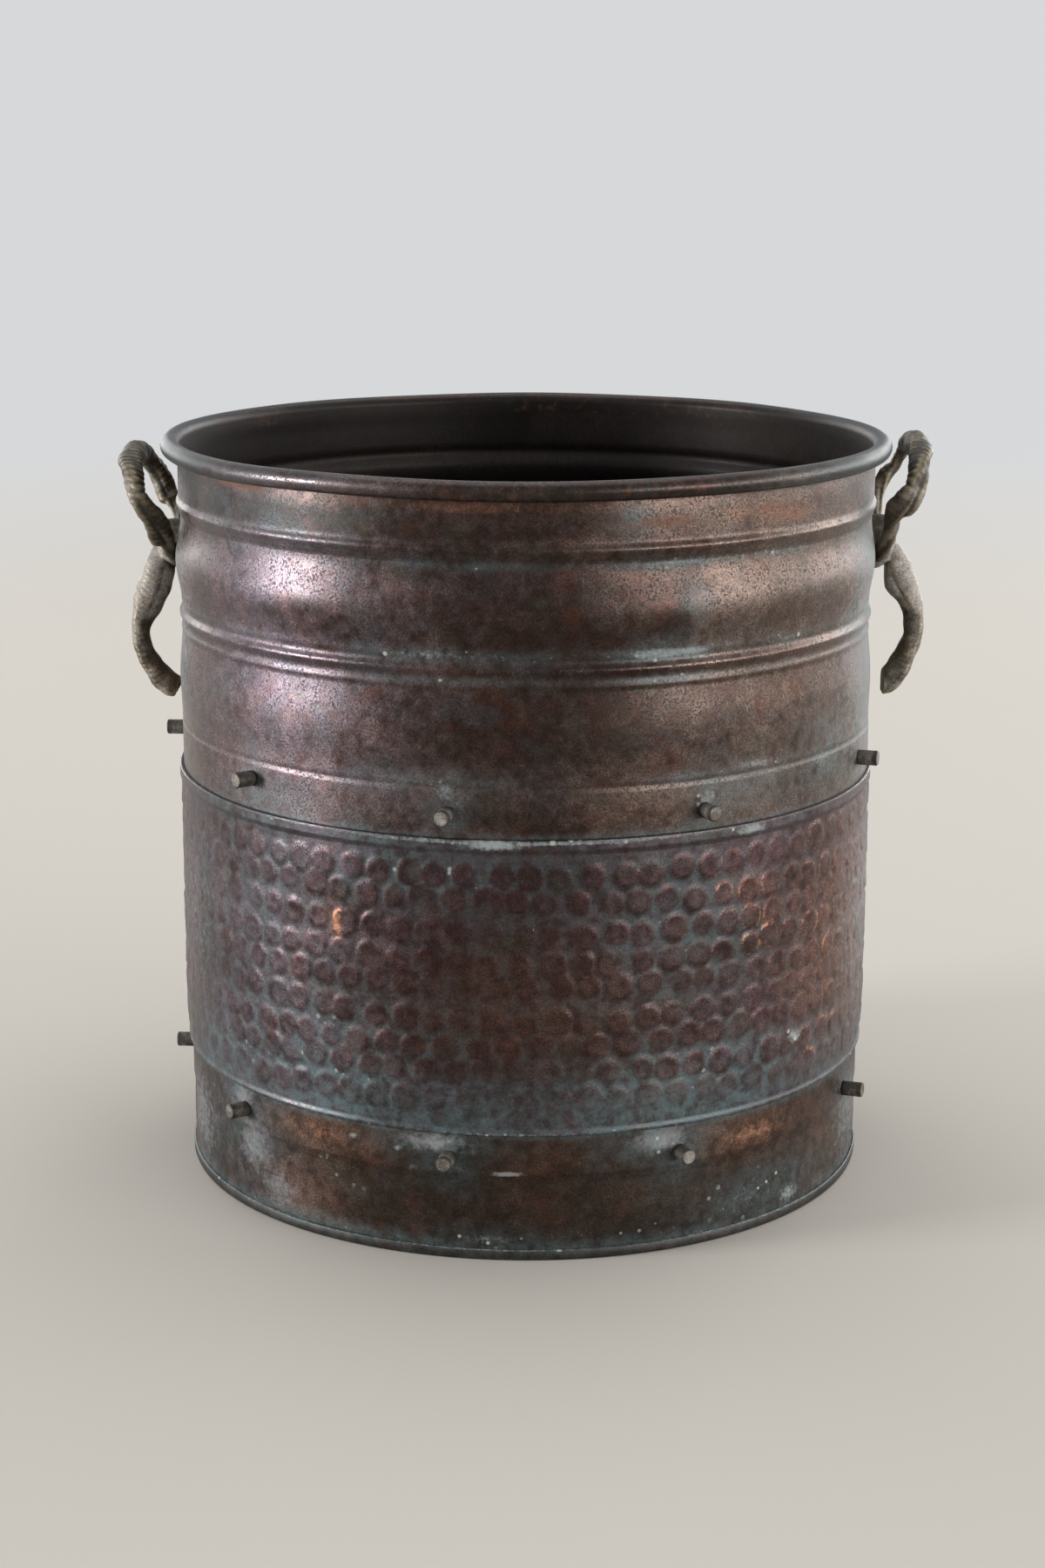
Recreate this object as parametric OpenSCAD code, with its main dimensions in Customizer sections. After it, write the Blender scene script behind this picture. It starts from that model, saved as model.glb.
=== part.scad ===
// Hammered copper bucket with two cast brass handles and two rows of round studs.
// Origin on the bucket's axis, in the plane that it stands on. +Z is up and -Y is the front.
// The bosses beaten into the band, the ribs and leaves of the handles and the dents are surface
// relief, and are not modelled here.

/* [Body] */
// Height of the bucket, from the foot to the top of the rolled rim
body_h = 297.5; // [240:0.5:360]
// Outer radius of the upper shell at its stud belt
body_r = 139.5; // [115:0.1:170]
// Thickness of the copper sheet
sheet = 0.8; // [0.6:0.1:1.2]
// How far two sheets overlap where one slips inside the other
lap_h = 12; // [6:0.5:15]
// Gap between two sheets that lie against each other
sheet_gap = 0.05; // [0.02:0.01:0.15]

/* [Rim] */
// Diameter of the iron wire that the rim is rolled around
rim_wire_d = 5.8; // [4:0.1:8]
// Height of the plain neck under the rolled rim
neck_h = 15.4; // [10:0.1:20]

/* [Upper shell] */
// Height of the swaged bead under the neck
top_bead_h = 6; // [4:0.1:8]
// Height of the groove under the top bead
top_groove_h = 3.2; // [2:0.1:5]
// Height of the rounded belly that carries the handles
belly_h = 32.8; // [30:0.1:40]
// How far that belly stands out
belly_bulge = 2.2; // [0.5:0.1:3]
// Height of the second swaged bead, with its groove above it
low_bead_h = 7.6; // [5:0.1:10]
// Height of the groove under the second bead
low_groove_h = 2.6; // [2:0.1:4]
// How far the two beads stand out
bead_bulge = 0.9; // [0.4:0.1:1.5]
// Depth of the grooves below the neck
groove_depth = 0.8; // [0.3:0.1:1.2]
// Height of the flatter swelling above the stud belt
swell_h = 38; // [25:0.1:50]
// How far the flatter swelling stands out
swell_bulge = 0.8; // [0.3:0.1:1.5]
// Height of the upper stud belt
upper_belt_h = 19.3; // [12:0.1:25]

/* [Hammered band] */
// Width of the hem folded over the band's upper edge
hem_h = 4.8; // [3:0.1:8]
// Width of the raised bead along the band's lower edge
edge_bead_h = 2; // [1.5:0.1:4]
// Height over which the band draws in to the lower shell
draw_in_h = 22; // [12:0.5:30]

/* [Lower shell and base] */
// How much narrower the lower shell is than the upper one, in radius
lower_inset = 0.8; // [0.4:0.1:2]
// Height of the lower stud belt
lower_belt_h = 17.5; // [12:0.1:25]
// Height from the floor to the crease under the lower stud belt
lower_crease_z = 32.6; // [20:0.1:40]
// Step inwards at that crease
crease_step = 0.5; // [0.2:0.1:1]
// Height of the crimped foot seam
foot_h = 4.5; // [3.6:0.1:8]
// Height of the bucket's floor above the plane it stands on
floor_z = 4; // [3:0.1:8]

/* [Studs] */
// Number of studs in each row
studs = 9; // [6:1:12]
// Diameter of a stud
stud_d = 6; // [5:0.1:8]
// How far a stud stands out of the wall
stud_l = 8; // [5:0.1:12]
// Diameter of the tenon that passes through the sheet
tenon_d = 4; // [3:0.1:4.5]
// Clearance around the tenon
tenon_gap = 0.1; // [0.05:0.05:0.3]
// Diameter of the head peened over inside the wall
peen_d = 7; // [6:0.1:9]
// Height of the peened head
peen_h = 1.4; // [1:0.1:2.5]
// How far the lower studs sit below the middle of their belt
lower_stud_drop = 1.6; // [0:0.1:3]

/* [Handles] */
// Half width of the handle's ring, at the middle of the bar
ring_half_w = 28.8; // [24:0.1:36]
// Radius of the ring's bar
bar_r = 4.1; // [3:0.1:5]
// Height of the ring's foot above the middle of the belly
ring_foot_up = -1; // [-3:0.1:3]
// Height of the left ring, foot to crown
left_ring_h = 40; // [36:0.5:50]
// Height of the right ring, foot to crown
right_ring_h = 45; // [36:0.5:50]
// How far the crown leans out past the ring's foot
ring_lean = 15.3; // [12:0.1:20]
// How late the left ring bends outwards, 1 for a straight lean
left_bow = 1.6; // [1:0.1:2]
// How late the right ring bends outwards, 1 for a straight lean
right_bow = 1.1; // [1:0.1:2]
// Radius of the arc of the tail under the handle
tail_arc_r = 27.2; // [22:0.1:32]
// How far the middle of the tail stands out of the wall
tail_out = 18; // [14:0.1:22]
// Height of the tail's arc centre, measured down from the middle of the belly
tail_drop = 32.5; // [28:0.1:38]
// Radius of the pad's rounded ends
pad_r = 7; // [6.5:0.1:9]
// How far the pad stands out of the wall
pad_out = 9.5; // [9:0.1:12]

/* [Handle screws] */
// Diameter of a handle screw
screw_d = 4; // [3:0.5:5]
// Distance between the two screws of a handle
screw_pitch = 12; // [10:0.1:16]
// How deep the screw goes into the pad
screw_grip = 7; // [5:0.1:8]
// Clearance around the screw
screw_gap = 0.1; // [0.05:0.05:0.3]
// Diameter of the screw's head
screw_head_d = 7.5; // [6:0.1:9]
// Height of the screw's head
screw_head_h = 2.4; // [1.5:0.1:3]
// Diameter of the washer under the head
washer_d = 9; // [7.5:0.1:10]
// Thickness of that washer
washer_h = 0.8; // [0.5:0.1:1.5]

/* [Hidden] */
SHELL_NODES = ["upper_shell", "rim_wire", "hammered_band", "lower_shell", "base_plate"];
HANDLE_NODES = [for (side = ["left", "right"])
    each [str("handle_", side),
          str(side, "_screw_upper"), str(side, "_screw_lower"),
          str(side, "_washer_upper"), str(side, "_washer_lower")]];
STUD_NODES = [for (row = ["upper", "lower"], i = [1:studs]) str(row, "_stud_", i)];

$fn = 96;
copper = "#8f6a5a";
dark_copper = "#775548";
aged_brass = "#85775a";
iron = "#6d5a50";
past = 1; // how far a cut runs past the solid it cuts
drill_past = 0.5; // how much deeper than its screw a blind hole is

// Rim: the sheet is rolled outwards around the wire, and ends against the neck
roll_in_r = rim_wire_d / 2 + sheet_gap;
roll_out_r = roll_in_r + sheet;
roll_r = body_r - sheet + roll_out_r;
roll_z = body_h - roll_out_r;
roll_end = 225; // where the rolled edge stops, as an angle at the wire
roll_step = 12;

// Heights of the upper shell's zones, from the top down
neck_top_z = body_h - 2 * roll_out_r;
top_bead_z = neck_top_z - neck_h;
top_groove_z = top_bead_z - top_bead_h;
belly_z = top_groove_z - top_groove_h;
low_bead_z = belly_z - belly_h;
low_groove_z = low_bead_z - low_bead_h;
swell_z = low_groove_z - low_groove_h;
upper_belt_z = swell_z - swell_h;
band_top_z = upper_belt_z - upper_belt_h;
belly_mid_z = belly_z - belly_h / 2;
groove_r = body_r - groove_depth;
low_groove_r = groove_r - 0.3;
ease_h = 0.9; // height over which a groove or a crease turns

// Hammered band: it laps over the outside of both shells
band_in_r = body_r + sheet_gap;
band_r = band_in_r + sheet;
lower_r = body_r - lower_inset;
band_low_in_r = lower_r + sheet_gap;
band_low_r = band_low_in_r + sheet;
edge_bead_bulge = sheet / 2;
edge_bead_r = band_low_r + edge_bead_bulge;
band_low_z = lower_crease_z + lower_belt_h;

// Lower shell and the crimped foot that takes its bottom edge
foot_wall_r = lower_r - crease_step;
foot_wall_bulge = 0.2;
foot_in_r = foot_wall_r + sheet_gap;
foot_r = foot_in_r + sheet;
foot_core_r = foot_wall_r - sheet - sheet_gap;
shell_low_z = sheet + sheet_gap;

// Studs: set by hand, so each one strays a little from its even place
stud_pitch = 360 / studs;
first_stud = -12; // azimuth of stud 1, counted from the front towards +X
stud_chamfer = 0.4;
upper_stray = [0, 0.5, 2.5, 0, 0, 3, 0, 0, 4];
upper_lift = [-0.7, -2.2, 0, 0, 0.6, 0, -0.5, 0, 2.2];
lower_stray = [0, -2.8, 0.6, 0, 0, 1, 0, 0, 0];
lower_lift = [0.4, -0.3, -1.6, 0, 0.5, 0, 0, -0.4, 1.6];
upper_stud_z = upper_belt_z - upper_belt_h / 2;
lower_stud_z = band_low_z - lower_belt_h / 2 - lower_stud_drop;

// Handles
pad_z = belly_mid_z + 4;
ring_foot_z = belly_mid_z + ring_foot_up;
ring_taper = 0.385; // makes the ring widest above its middle
ring_seat = 1.5; // from the wall to the middle of the bar at the ring's foot
ring_face = [1, 0, -0.35]; // roughly square to the plane that the ring lies in
crown_swell = 1.1;
leaf_swell = 1.2;
leaf_at = 108; // where along the ring the leaf wraps the bar, in degrees from the crown
tail_arc_z = belly_mid_z - tail_drop;
stem_seat = 5.5; // from the wall to the middle of the tail at the pad
tail_top_half = [7.6, 7];
tail_low_half = [3.9, 4];
tail_end_half = [4.5, 4.4];
tail_from = 12; // angle at which the tail's arc takes over from its straight stem
tail_to = -59;  // angle at which the tail ends
bar_sides = 12;
ring_steps = 36;
tail_steps = 9;
screw_places = [["upper", pad_z + screw_pitch / 2], ["lower", pad_z - screw_pitch / 2]];

// Radius of an arch between two radii: a straight slope with a bulge that fades out at both ends
function arch(top, low, bulge, steps) = [
    for (i = [0:steps])
        let (f = i / steps)
        [top[0] + (low[0] - top[0]) * f + bulge * pow(sin(180 * f), 2), top[1] + (low[1] - top[1]) * f]
];

// Outer face of the belly, from its top edge to its low edge
function belly_r_at(z) = groove_r + belly_bulge * pow(sin(180 * (belly_z - z) / belly_h), 2);
belly_line = arch([groove_r, belly_z], [groove_r, low_bead_z], belly_bulge, 14);

// The upper shell's outer face from the neck down to its lapped edge
upper_line = concat(
    arch([body_r, top_bead_z], [body_r, top_groove_z], bead_bulge, 6),
    [[groove_r, top_groove_z - ease_h]],
    belly_line,
    [[low_groove_r, low_bead_z - ease_h]],
    arch([low_groove_r, low_bead_z - 2 * ease_h], [low_groove_r, low_groove_z], bead_bulge, 6),
    arch([low_groove_r, swell_z + ease_h], [body_r, upper_belt_z + ease_h], swell_bulge, 12),
    [[body_r, upper_belt_z], [body_r, band_top_z - lap_h]]
);

// Part of a circle around the rim wire, from the neck over the top to the rolled edge
function roll_line(r) = [
    for (a = [180:-roll_step:roll_end - 360]) [roll_r + r * cos(a), roll_z + r * sin(a)]
];

band_line = concat(
    [[band_r + sheet, band_top_z], [band_r + sheet, band_top_z - hem_h], [band_r, band_top_z - hem_h]],
    [for (f = [0:1 / 6:1.01])
        [band_r - (band_r - band_low_r) * (1 - cos(90 * f)),
         band_low_z + draw_in_h * (1 - f) + edge_bead_h * f]],
    [[edge_bead_r, band_low_z + edge_bead_h - edge_bead_bulge], [edge_bead_r, band_low_z]]
);

lower_line = concat(
    [[lower_r, band_low_z + lap_h], [lower_r, lower_crease_z + ease_h]],
    arch([foot_wall_r, lower_crease_z - ease_h], [foot_wall_r, foot_h + ease_h], foot_wall_bulge, 6),
    [[foot_wall_r, shell_low_z]]
);

function reversed(line) = [for (i = [len(line) - 1:-1:0]) line[i]];
function shifted(line, out) = [for (p = line) [p[0] + out, p[1]]];

// A sheet that follows an outer line, turned about the bucket's axis
module turned_sheet(line) {
    rotate_extrude() polygon(concat(line, reversed(shifted(line, -sheet))));
}

// Places its children on the wall at an azimuth, with their own +Z pointing straight out
module on_wall(azimuth, z) {
    rotate([0, 0, azimuth]) translate([0, 0, z]) rotate([90, 0, 0]) children();
}

module stud_holes(strays, lifts, z) {
    for (i = [0:studs - 1])
        on_wall(stud_azimuth(strays, i), stud_height(lifts, i, z))
            translate([0, 0, body_r / 2]) cylinder(d = tenon_d + 2 * tenon_gap, h = body_r);
}

module screw_holes(side) {
    for (place = screw_places)
        on_wall(side * 90, place[1])
            translate([0, 0, body_r / 2]) cylinder(d = screw_d + 2 * screw_gap, h = body_r);
}

function stray(list, i) = i < len(list) ? list[i] : 0;
function stud_azimuth(strays, i) = first_stud + i * stud_pitch + stray(strays, i);
function stud_height(lifts, i, z) = z + stray(lifts, i);

module upper_shell() {
    color(dark_copper) difference() {
        rotate_extrude() polygon(concat(
            reversed(shifted(upper_line, -sheet)), roll_line(roll_out_r), reversed(roll_line(roll_in_r)),
            upper_line));
        stud_holes(upper_stray, upper_lift, upper_stud_z);
        screw_holes(-1);
        screw_holes(1);
    }
}

module rim_wire() {
    color(iron) rotate_extrude() translate([roll_r, roll_z]) circle(d = rim_wire_d, $fn = 32);
}

module hammered_band() {
    draw_in_line = [for (p = band_line) if (p[0] <= band_r && p[1] < band_top_z - hem_h) p];
    color(copper) rotate_extrude() polygon(concat(
        band_line, [[band_low_in_r, band_low_z]], reversed(shifted(draw_in_line, -sheet)),
        [[band_in_r, band_top_z]]));
}

module lower_shell() {
    color(copper) difference() {
        turned_sheet(lower_line);
        stud_holes(lower_stray, lower_lift, lower_stud_z);
    }
}

// One sheet: the floor, a short wall down to the standing edge, and a flange turned up outside
module base_plate() {
    color(dark_copper) rotate_extrude() polygon([
        [0, floor_z], [foot_core_r, floor_z], [foot_core_r, sheet], [foot_in_r, sheet], [foot_in_r, foot_h],
        [foot_r, foot_h], [foot_r, 0], [foot_core_r - sheet, 0], [foot_core_r - sheet, floor_z - sheet],
        [0, floor_z - sheet]]);
}

// A stud turned from one rod: post outside, tenon through the sheet, head peened over inside
module stud(wall_r) {
    inner_seat = sqrt(pow(wall_r - sheet, 2) - pow(peen_d / 2, 2)) - sheet_gap;
    color(aged_brass) {
        translate([0, 0, wall_r + sheet_gap]) cylinder(d = stud_d, h = stud_l - stud_chamfer - sheet_gap);
        translate([0, 0, wall_r + stud_l - stud_chamfer])
            cylinder(d1 = stud_d, d2 = stud_d - 2 * stud_chamfer, h = stud_chamfer);
        translate([0, 0, inner_seat]) cylinder(d = tenon_d, h = wall_r - inner_seat + past);
        translate([0, 0, inner_seat - peen_h]) cylinder(d1 = peen_d - peen_h, d2 = peen_d, h = peen_h);
    }
}

function unit(v) = v / norm(v);
function lobe(a, middle, half) = abs(a - middle) < half ? pow(cos(90 * (a - middle) / half), 2) : 0;

// Cross-section of a bar: an oval of n points square to the bar's direction
function oval(centre, along, out, half, n) =
    let (u = unit(out - (out * along) * along), v = cross(along, u))
    [for (k = [0:n - 1]) centre + half[0] * cos(360 * k / n) * u + half[1] * sin(360 * k / n) * v];

// Middle line of the ring, in the handle's own frame: x out from the axis, y along the wall
function ring_at(a, ring_h, bow) =
    let (rise = (1 + cos(a)) / 2)
    [belly_r_at(ring_foot_z) + ring_seat + ring_lean * pow(rise, bow),
     ring_half_w * sin(a) * (1 + ring_taper * cos(a)),
     ring_foot_z + ring_h * rise];

function ring_half(a) =
    let (from_crown = a > 180 ? 360 - a : a)
    bar_r + crown_swell * lobe(from_crown, 0, 60) + leaf_swell * lobe(from_crown, leaf_at, 30);

// The triangles that join each oval of a bar to the next one, last to first too if it is closed
function skin(ovals, closed) = [
    for (i = [0:ovals - (closed ? 1 : 2)], k = [0:bar_sides - 1])
        let (j = (i + 1) % ovals, m = (k + 1) % bar_sides)
        each [[i * bar_sides + k, j * bar_sides + k, j * bar_sides + m],
              [i * bar_sides + k, j * bar_sides + m, i * bar_sides + m]]
];

module ring(ring_h, bow) {
    ovals = [for (i = [0:ring_steps - 1])
        let (a = (i + 0.5) * 360 / ring_steps,
             along = unit(ring_at(a + 1, ring_h, bow) - ring_at(a - 1, ring_h, bow)))
        oval(ring_at(a, ring_h, bow), along, ring_face, [ring_half(a), ring_half(a)], bar_sides)];
    polyhedron(points = [for (o = ovals) each o], faces = skin(ring_steps, true));
}

// Middle line of the tail: a straight stem from the pad, then an arc that bends back to the wall
tail_arc_x = body_r + tail_out - tail_arc_r;
function tail_arc_at(a) = [tail_arc_x + tail_arc_r * cos(a), 0, tail_arc_z + tail_arc_r * sin(a)];
stem_top = [belly_r_at(pad_z) + stem_seat, 0, pad_z];
stem_low = tail_arc_at(tail_from);
tail_path = concat(
    [for (f = [0:0.25:0.75]) stem_top + (stem_low - stem_top) * f],
    [for (i = [0:tail_steps]) tail_arc_at(tail_from + (tail_to - tail_from) * i / tail_steps)]);

function tail_half(i) =
    i <= 2 ? tail_top_half * (1 - i * 0.05) :
    i == 3 ? (tail_top_half * 0.75 + tail_low_half * 0.25) :
    i == 4 ? (tail_top_half * 0.3 + tail_low_half * 0.7) :
    i < len(tail_path) - 3 ? tail_low_half : tail_end_half;

module tail() {
    last = len(tail_path) - 1;
    ovals = [for (i = [0:last])
        let (along = unit(tail_path[min(i + 1, last)] - tail_path[max(i - 1, 0)]))
        oval(tail_path[i], along, [1, 0, 0], tail_half(i), bar_sides)];
    top_cap = [for (k = [0:bar_sides - 1]) k];
    end_cap = [for (k = [bar_sides - 1:-1:0]) last * bar_sides + k];
    polyhedron(points = [for (o = ovals) each o], faces = concat(skin(last + 1, false), [top_cap, end_cap]));
}

module pad() {
    out = belly_r_at(pad_z) + pad_out;
    for (place = screw_places)
        translate([0, 0, place[1]]) rotate([0, 90, 0]) cylinder(r = pad_r, h = out);
    translate([0, -pad_r, pad_z - screw_pitch / 2]) cube([out, 2 * pad_r, screw_pitch]);
}

// One casting: ring, pad and tail, with the pad's back shaped to the belly of the wall
module handle(side, ring_h, bow) {
    color(aged_brass) rotate([0, 0, side > 0 ? 0 : 180]) difference() {
        union() {
            ring(ring_h, bow);
            tail();
            pad();
        }
        rotate_extrude() polygon(concat(
            [[0, belly_z + past], [groove_r + sheet_gap, belly_z + past]],
            shifted(belly_line, sheet_gap),
            [[groove_r + sheet_gap, low_bead_z - past], [0, low_bead_z - past]]));
        for (place = screw_places)
            translate([body_r / 2, 0, place[1]]) rotate([0, 90, 0])
                cylinder(d = screw_d + 2 * screw_gap, h = screw_tip_r(place[1]) + drill_past - body_r / 2);
    }
}

// Where a washer's flat face meets the hollow wall, and where the screw's tip ends
function washer_seat_r(z) =
    sqrt(pow(min(belly_r_at(z - washer_d / 2), belly_r_at(z + washer_d / 2)) - sheet, 2) - pow(washer_d / 2, 2))
    - sheet_gap;
function screw_tip_r(z) = belly_r_at(z) + screw_grip;

module handle_washer(side, z) {
    seat = washer_seat_r(z);
    color(iron) on_wall(side * 90, z) translate([0, 0, seat - washer_h]) difference() {
        cylinder(d = washer_d, h = washer_h);
        translate([0, 0, -past]) cylinder(d = screw_d + 4 * screw_gap, h = washer_h + 2 * past);
    }
}

module handle_screw(side, z) {
    under_head = washer_seat_r(z) - washer_h - sheet_gap;
    slot_w = 1;
    color(iron) on_wall(side * 90, z) difference() {
        union() {
            translate([0, 0, under_head - past]) cylinder(d = screw_d, h = screw_tip_r(z) - under_head + past);
            translate([0, 0, under_head - screw_head_h]) cylinder(d = screw_head_d, h = screw_head_h);
        }
        translate([-screw_head_d, -slot_w / 2, under_head - screw_head_h - past])
            cube([2 * screw_head_d, slot_w, past + screw_head_h / 2]);
    }
}

upper_shell();
rim_wire();
hammered_band();
lower_shell();
base_plate();
handle(-1, left_ring_h, left_bow);  // handle_left
handle(1, right_ring_h, right_bow);  // handle_right
for (side = [["left", -1], ["right", 1]], place = screw_places) {
    handle_screw(side[1], place[1]);
    handle_washer(side[1], place[1]);
}
for (i = [0:studs - 1]) {
    on_wall(stud_azimuth(upper_stray, i), stud_height(upper_lift, i, upper_stud_z)) stud(body_r);
    on_wall(stud_azimuth(lower_stray, i), stud_height(lower_lift, i, lower_stud_z)) stud(lower_r);
}
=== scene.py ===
"""Finished look of the hammered copper bucket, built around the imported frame.

Every sheet is worked in mesh code: swaged, beaten, dented and patinated, and every casting is
modelled and fused. Sizes are in millimetres until a mesh is written, and the frame is in metres.
"""
import math

import bpy
import numpy as np
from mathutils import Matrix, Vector


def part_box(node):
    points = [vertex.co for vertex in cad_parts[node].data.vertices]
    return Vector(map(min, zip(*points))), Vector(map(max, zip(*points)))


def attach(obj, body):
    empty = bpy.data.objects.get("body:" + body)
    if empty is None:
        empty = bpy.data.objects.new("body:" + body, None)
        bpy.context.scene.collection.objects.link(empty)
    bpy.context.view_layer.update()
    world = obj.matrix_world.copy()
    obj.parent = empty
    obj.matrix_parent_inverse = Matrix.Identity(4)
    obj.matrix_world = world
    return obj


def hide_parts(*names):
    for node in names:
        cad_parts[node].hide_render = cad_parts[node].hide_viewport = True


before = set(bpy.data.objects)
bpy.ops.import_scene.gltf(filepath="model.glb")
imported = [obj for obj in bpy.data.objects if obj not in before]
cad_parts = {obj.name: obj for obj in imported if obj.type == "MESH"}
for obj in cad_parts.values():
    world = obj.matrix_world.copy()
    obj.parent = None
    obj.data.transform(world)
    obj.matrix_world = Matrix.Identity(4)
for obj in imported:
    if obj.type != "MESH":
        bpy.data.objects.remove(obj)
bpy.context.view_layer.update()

bl_info = {
    "name": "Hammered copper bucket",
    "version": (1, 0, 0),
    "blender": (4, 5, 0),
    "location": "3D View > Sidebar > Bucket",
    "description": "Builds a weathered copper bucket with a hammered band and cast brass handles",
    "category": "Add Mesh",
}

MM = 0.001
BODY = "root"
TAU = 2 * math.pi


# ---------------------------------------------------------------- sizes taken from the frame

def box_mm(node):
    """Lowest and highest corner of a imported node, in millimetres."""
    low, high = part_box(node)
    return np.array(low) / MM, np.array(high) / MM


SHELL_LOW, SHELL_HIGH = box_mm("upper_shell")
BAND_LOW, BAND_HIGH = box_mm("hammered_band")
LOWER_LOW, LOWER_HIGH = box_mm("lower_shell")
FOOT_HIGH = box_mm("base_plate")[1]
WIRE_LOW, WIRE_HIGH = box_mm("rim_wire")

SHEET = 0.8
GAP = 0.05
RIM_TOP = SHELL_HIGH[2]
RIM_R = SHELL_HIGH[1]
WIRE_HALF = (WIRE_HIGH[2] - WIRE_LOW[2]) / 2
ROLL_IN = WIRE_HALF + GAP
ROLL_OUT = ROLL_IN + SHEET
ROLL_R = RIM_R - ROLL_OUT
ROLL_Z = RIM_TOP - ROLL_OUT
NECK_R = ROLL_R - ROLL_IN
BAND_TOP = BAND_HIGH[2]
BAND_FLOOR = BAND_LOW[2]
BAND_R = BAND_HIGH[0] - SHEET
FOOT_TOP = FOOT_HIGH[2]
FOOT_R = FOOT_HIGH[0]
FOOT_WALL_R = FOOT_R - SHEET - GAP
LOWER_R = FOOT_WALL_R + 0.5
BELLY_Z = RIM_TOP - 48.5


# ---------------------------------------------------------------- settings shown in the sidebar

def srgb(hex_text, alpha=1.0):
    """Linear colour of an sRGB hex value such as "#8f6a5a"."""
    parts = [int(hex_text[i:i + 2], 16) / 255 for i in (1, 3, 5)]
    linear = [c / 12.92 if c <= 0.04045 else ((c + 0.055) / 1.055) ** 2.4 for c in parts]
    return (*linear, alpha)


def colour_setting(name, description, hex_text):
    """A colour property whose default is an sRGB hex value."""
    return bpy.props.FloatVectorProperty(
        name=name, description=description, subtype="COLOR", size=4, min=0, max=1, default=srgb(hex_text))


class BucketWallSettings(bpy.types.PropertyGroup):
    """How the sheet walls are worked and how far they have been knocked about."""
    wander: bpy.props.FloatProperty(
        name="Wander", description="How far the sheet strays in and out, in millimetres",
        default=0.35, min=0, max=1.5)
    dent_depth: bpy.props.FloatProperty(
        name="Dents", description="Depth of the deepest dents, in millimetres", default=1.1, min=0, max=3)
    rim_wave: bpy.props.FloatProperty(
        name="Rim wave", description="How far the rim rises and falls, in millimetres",
        default=0.3, min=0, max=1)


class BucketBandSettings(bpy.types.PropertyGroup):
    """The bosses beaten into the middle band."""
    rows: bpy.props.IntProperty(name="Rows", description="Rows of bosses", default=9, min=1, max=12)
    around: bpy.props.IntProperty(name="Around", description="Bosses in a row", default=76, min=12, max=100)
    boss_radius: bpy.props.FloatProperty(
        name="Boss radius", description="Radius of a boss, in millimetres", default=5.6, min=2, max=6)
    boss_height: bpy.props.FloatProperty(
        name="Boss height", description="How far a boss stands out, in millimetres",
        default=0.5, min=0, max=1.5)


class BucketPatinaSettings(bpy.types.PropertyGroup):
    """Colours of the metals and of what has grown on them."""
    tarnish: colour_setting("Tarnish", "Dark brown film on old copper", "#291b15")
    warm: colour_setting("Warm copper", "Brown copper where the film is thin", "#66574e")
    # the violet film is partly painted light: it tints the left side, where the cool lamp falls
    mauve: colour_setting("Mauve film", "Film that has turned from brown to a dull violet", "#655b66")
    bare: colour_setting("Bare copper", "Copper rubbed bright on edges", "#a8775c")
    verdigris: colour_setting("Verdigris", "Pale blue-green copper salts", "#8c9492")
    bloom: colour_setting("Bloom", "Thin grey-green haze over the film", "#47595c")
    lime: colour_setting("Lime", "Whitish water scale", "#8d888c")
    brass: colour_setting("Aged brass", "Dull cast brass", "#484135")
    ruddy: colour_setting("Ruddy copper", "Orange-brown copper where the film was rubbed thin", "#74503c")
    rust: colour_setting("Rust", "Iron rust and its stain", "#6b4129")


class BucketStageSettings(bpy.types.PropertyGroup):
    """Floor, light and camera."""
    floor: colour_setting("Floor", "Plain pale floor", "#b9b4ac")
    backdrop: colour_setting("Backdrop", "Plain pale background", "#d6d8da")


# ---------------------------------------------------------------- mesh helpers

def put_in_scene(name, mesh):
    """A new object that holds mesh, linked to the scene."""
    piece = bpy.data.objects.new(name, mesh)
    bpy.context.scene.collection.objects.link(piece)
    return piece


def ring_faces(rows, columns, close_rows):
    """Quads over a grid whose columns run round in a ring, and whose rows may close as well."""
    row = np.arange(rows if close_rows else rows - 1)[:, None]
    column = np.arange(columns)[None, :]
    next_row = (row + 1) % rows
    next_column = (column + 1) % columns
    quads = np.stack([row * columns + column, row * columns + next_column,
                      next_row * columns + next_column, next_row * columns + column], axis=-1)
    return quads.reshape(-1, 4)


def grid_mesh(name, points, close_rows=True, cap_ends=False):
    """A smooth mesh over a grid of points [row, column, xyz] in millimetres, facing outwards."""
    rows, columns = points.shape[:2]
    flat = points.reshape(-1, 3)
    quads = ring_faces(rows, columns, close_rows)
    corner = [flat[quads[:, i]] for i in range(3)]
    volume = np.einsum("ij,ij->i", corner[0], np.cross(corner[1], corner[2])).sum()
    if volume < 0:
        quads = quads[:, ::-1]
    faces = quads.tolist()
    if cap_ends:
        first = list(range(columns))
        last = [(rows - 1) * columns + i for i in range(columns)]
        faces += [first, last[::-1]] if volume < 0 else [first[::-1], last]
    mesh = bpy.data.meshes.new(name)
    mesh.from_pydata((flat * MM).tolist(), [], faces)
    mesh.validate()
    mesh.shade_smooth()
    return mesh


def paint(mesh, name, values):
    """Stores one number a vertex, for the materials to read."""
    layer = mesh.attributes.new(name, "FLOAT", "POINT")
    layer.data.foreach_set("value", np.ascontiguousarray(values, np.float32).ravel())


SHEET_LAYERS = ("bloom", "verdigris", "lime", "ruddy", "bare", "rust", "soot", "worn", "mauve", "polish")


def paint_sheet(mesh, shape, **layers):
    """Stores the growths, wear and painted light that the copper reads; a layer that isn't given stays clear.
    """
    for name in SHEET_LAYERS:
        paint(mesh, name, np.broadcast_to(layers.get(name, 0.0), shape))


def line_at(z, level, half):
    """A soft level line around a wall: 1 at its level, and fading above and below it."""
    return np.exp(-((z - level) / half) ** 2)


def smooth_step(low, high, x):
    """0 below low, 1 above high, and an even S between them."""
    t = np.clip((x - low) / (high - low), 0, 1)
    return t * t * (3 - 2 * t)


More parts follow.
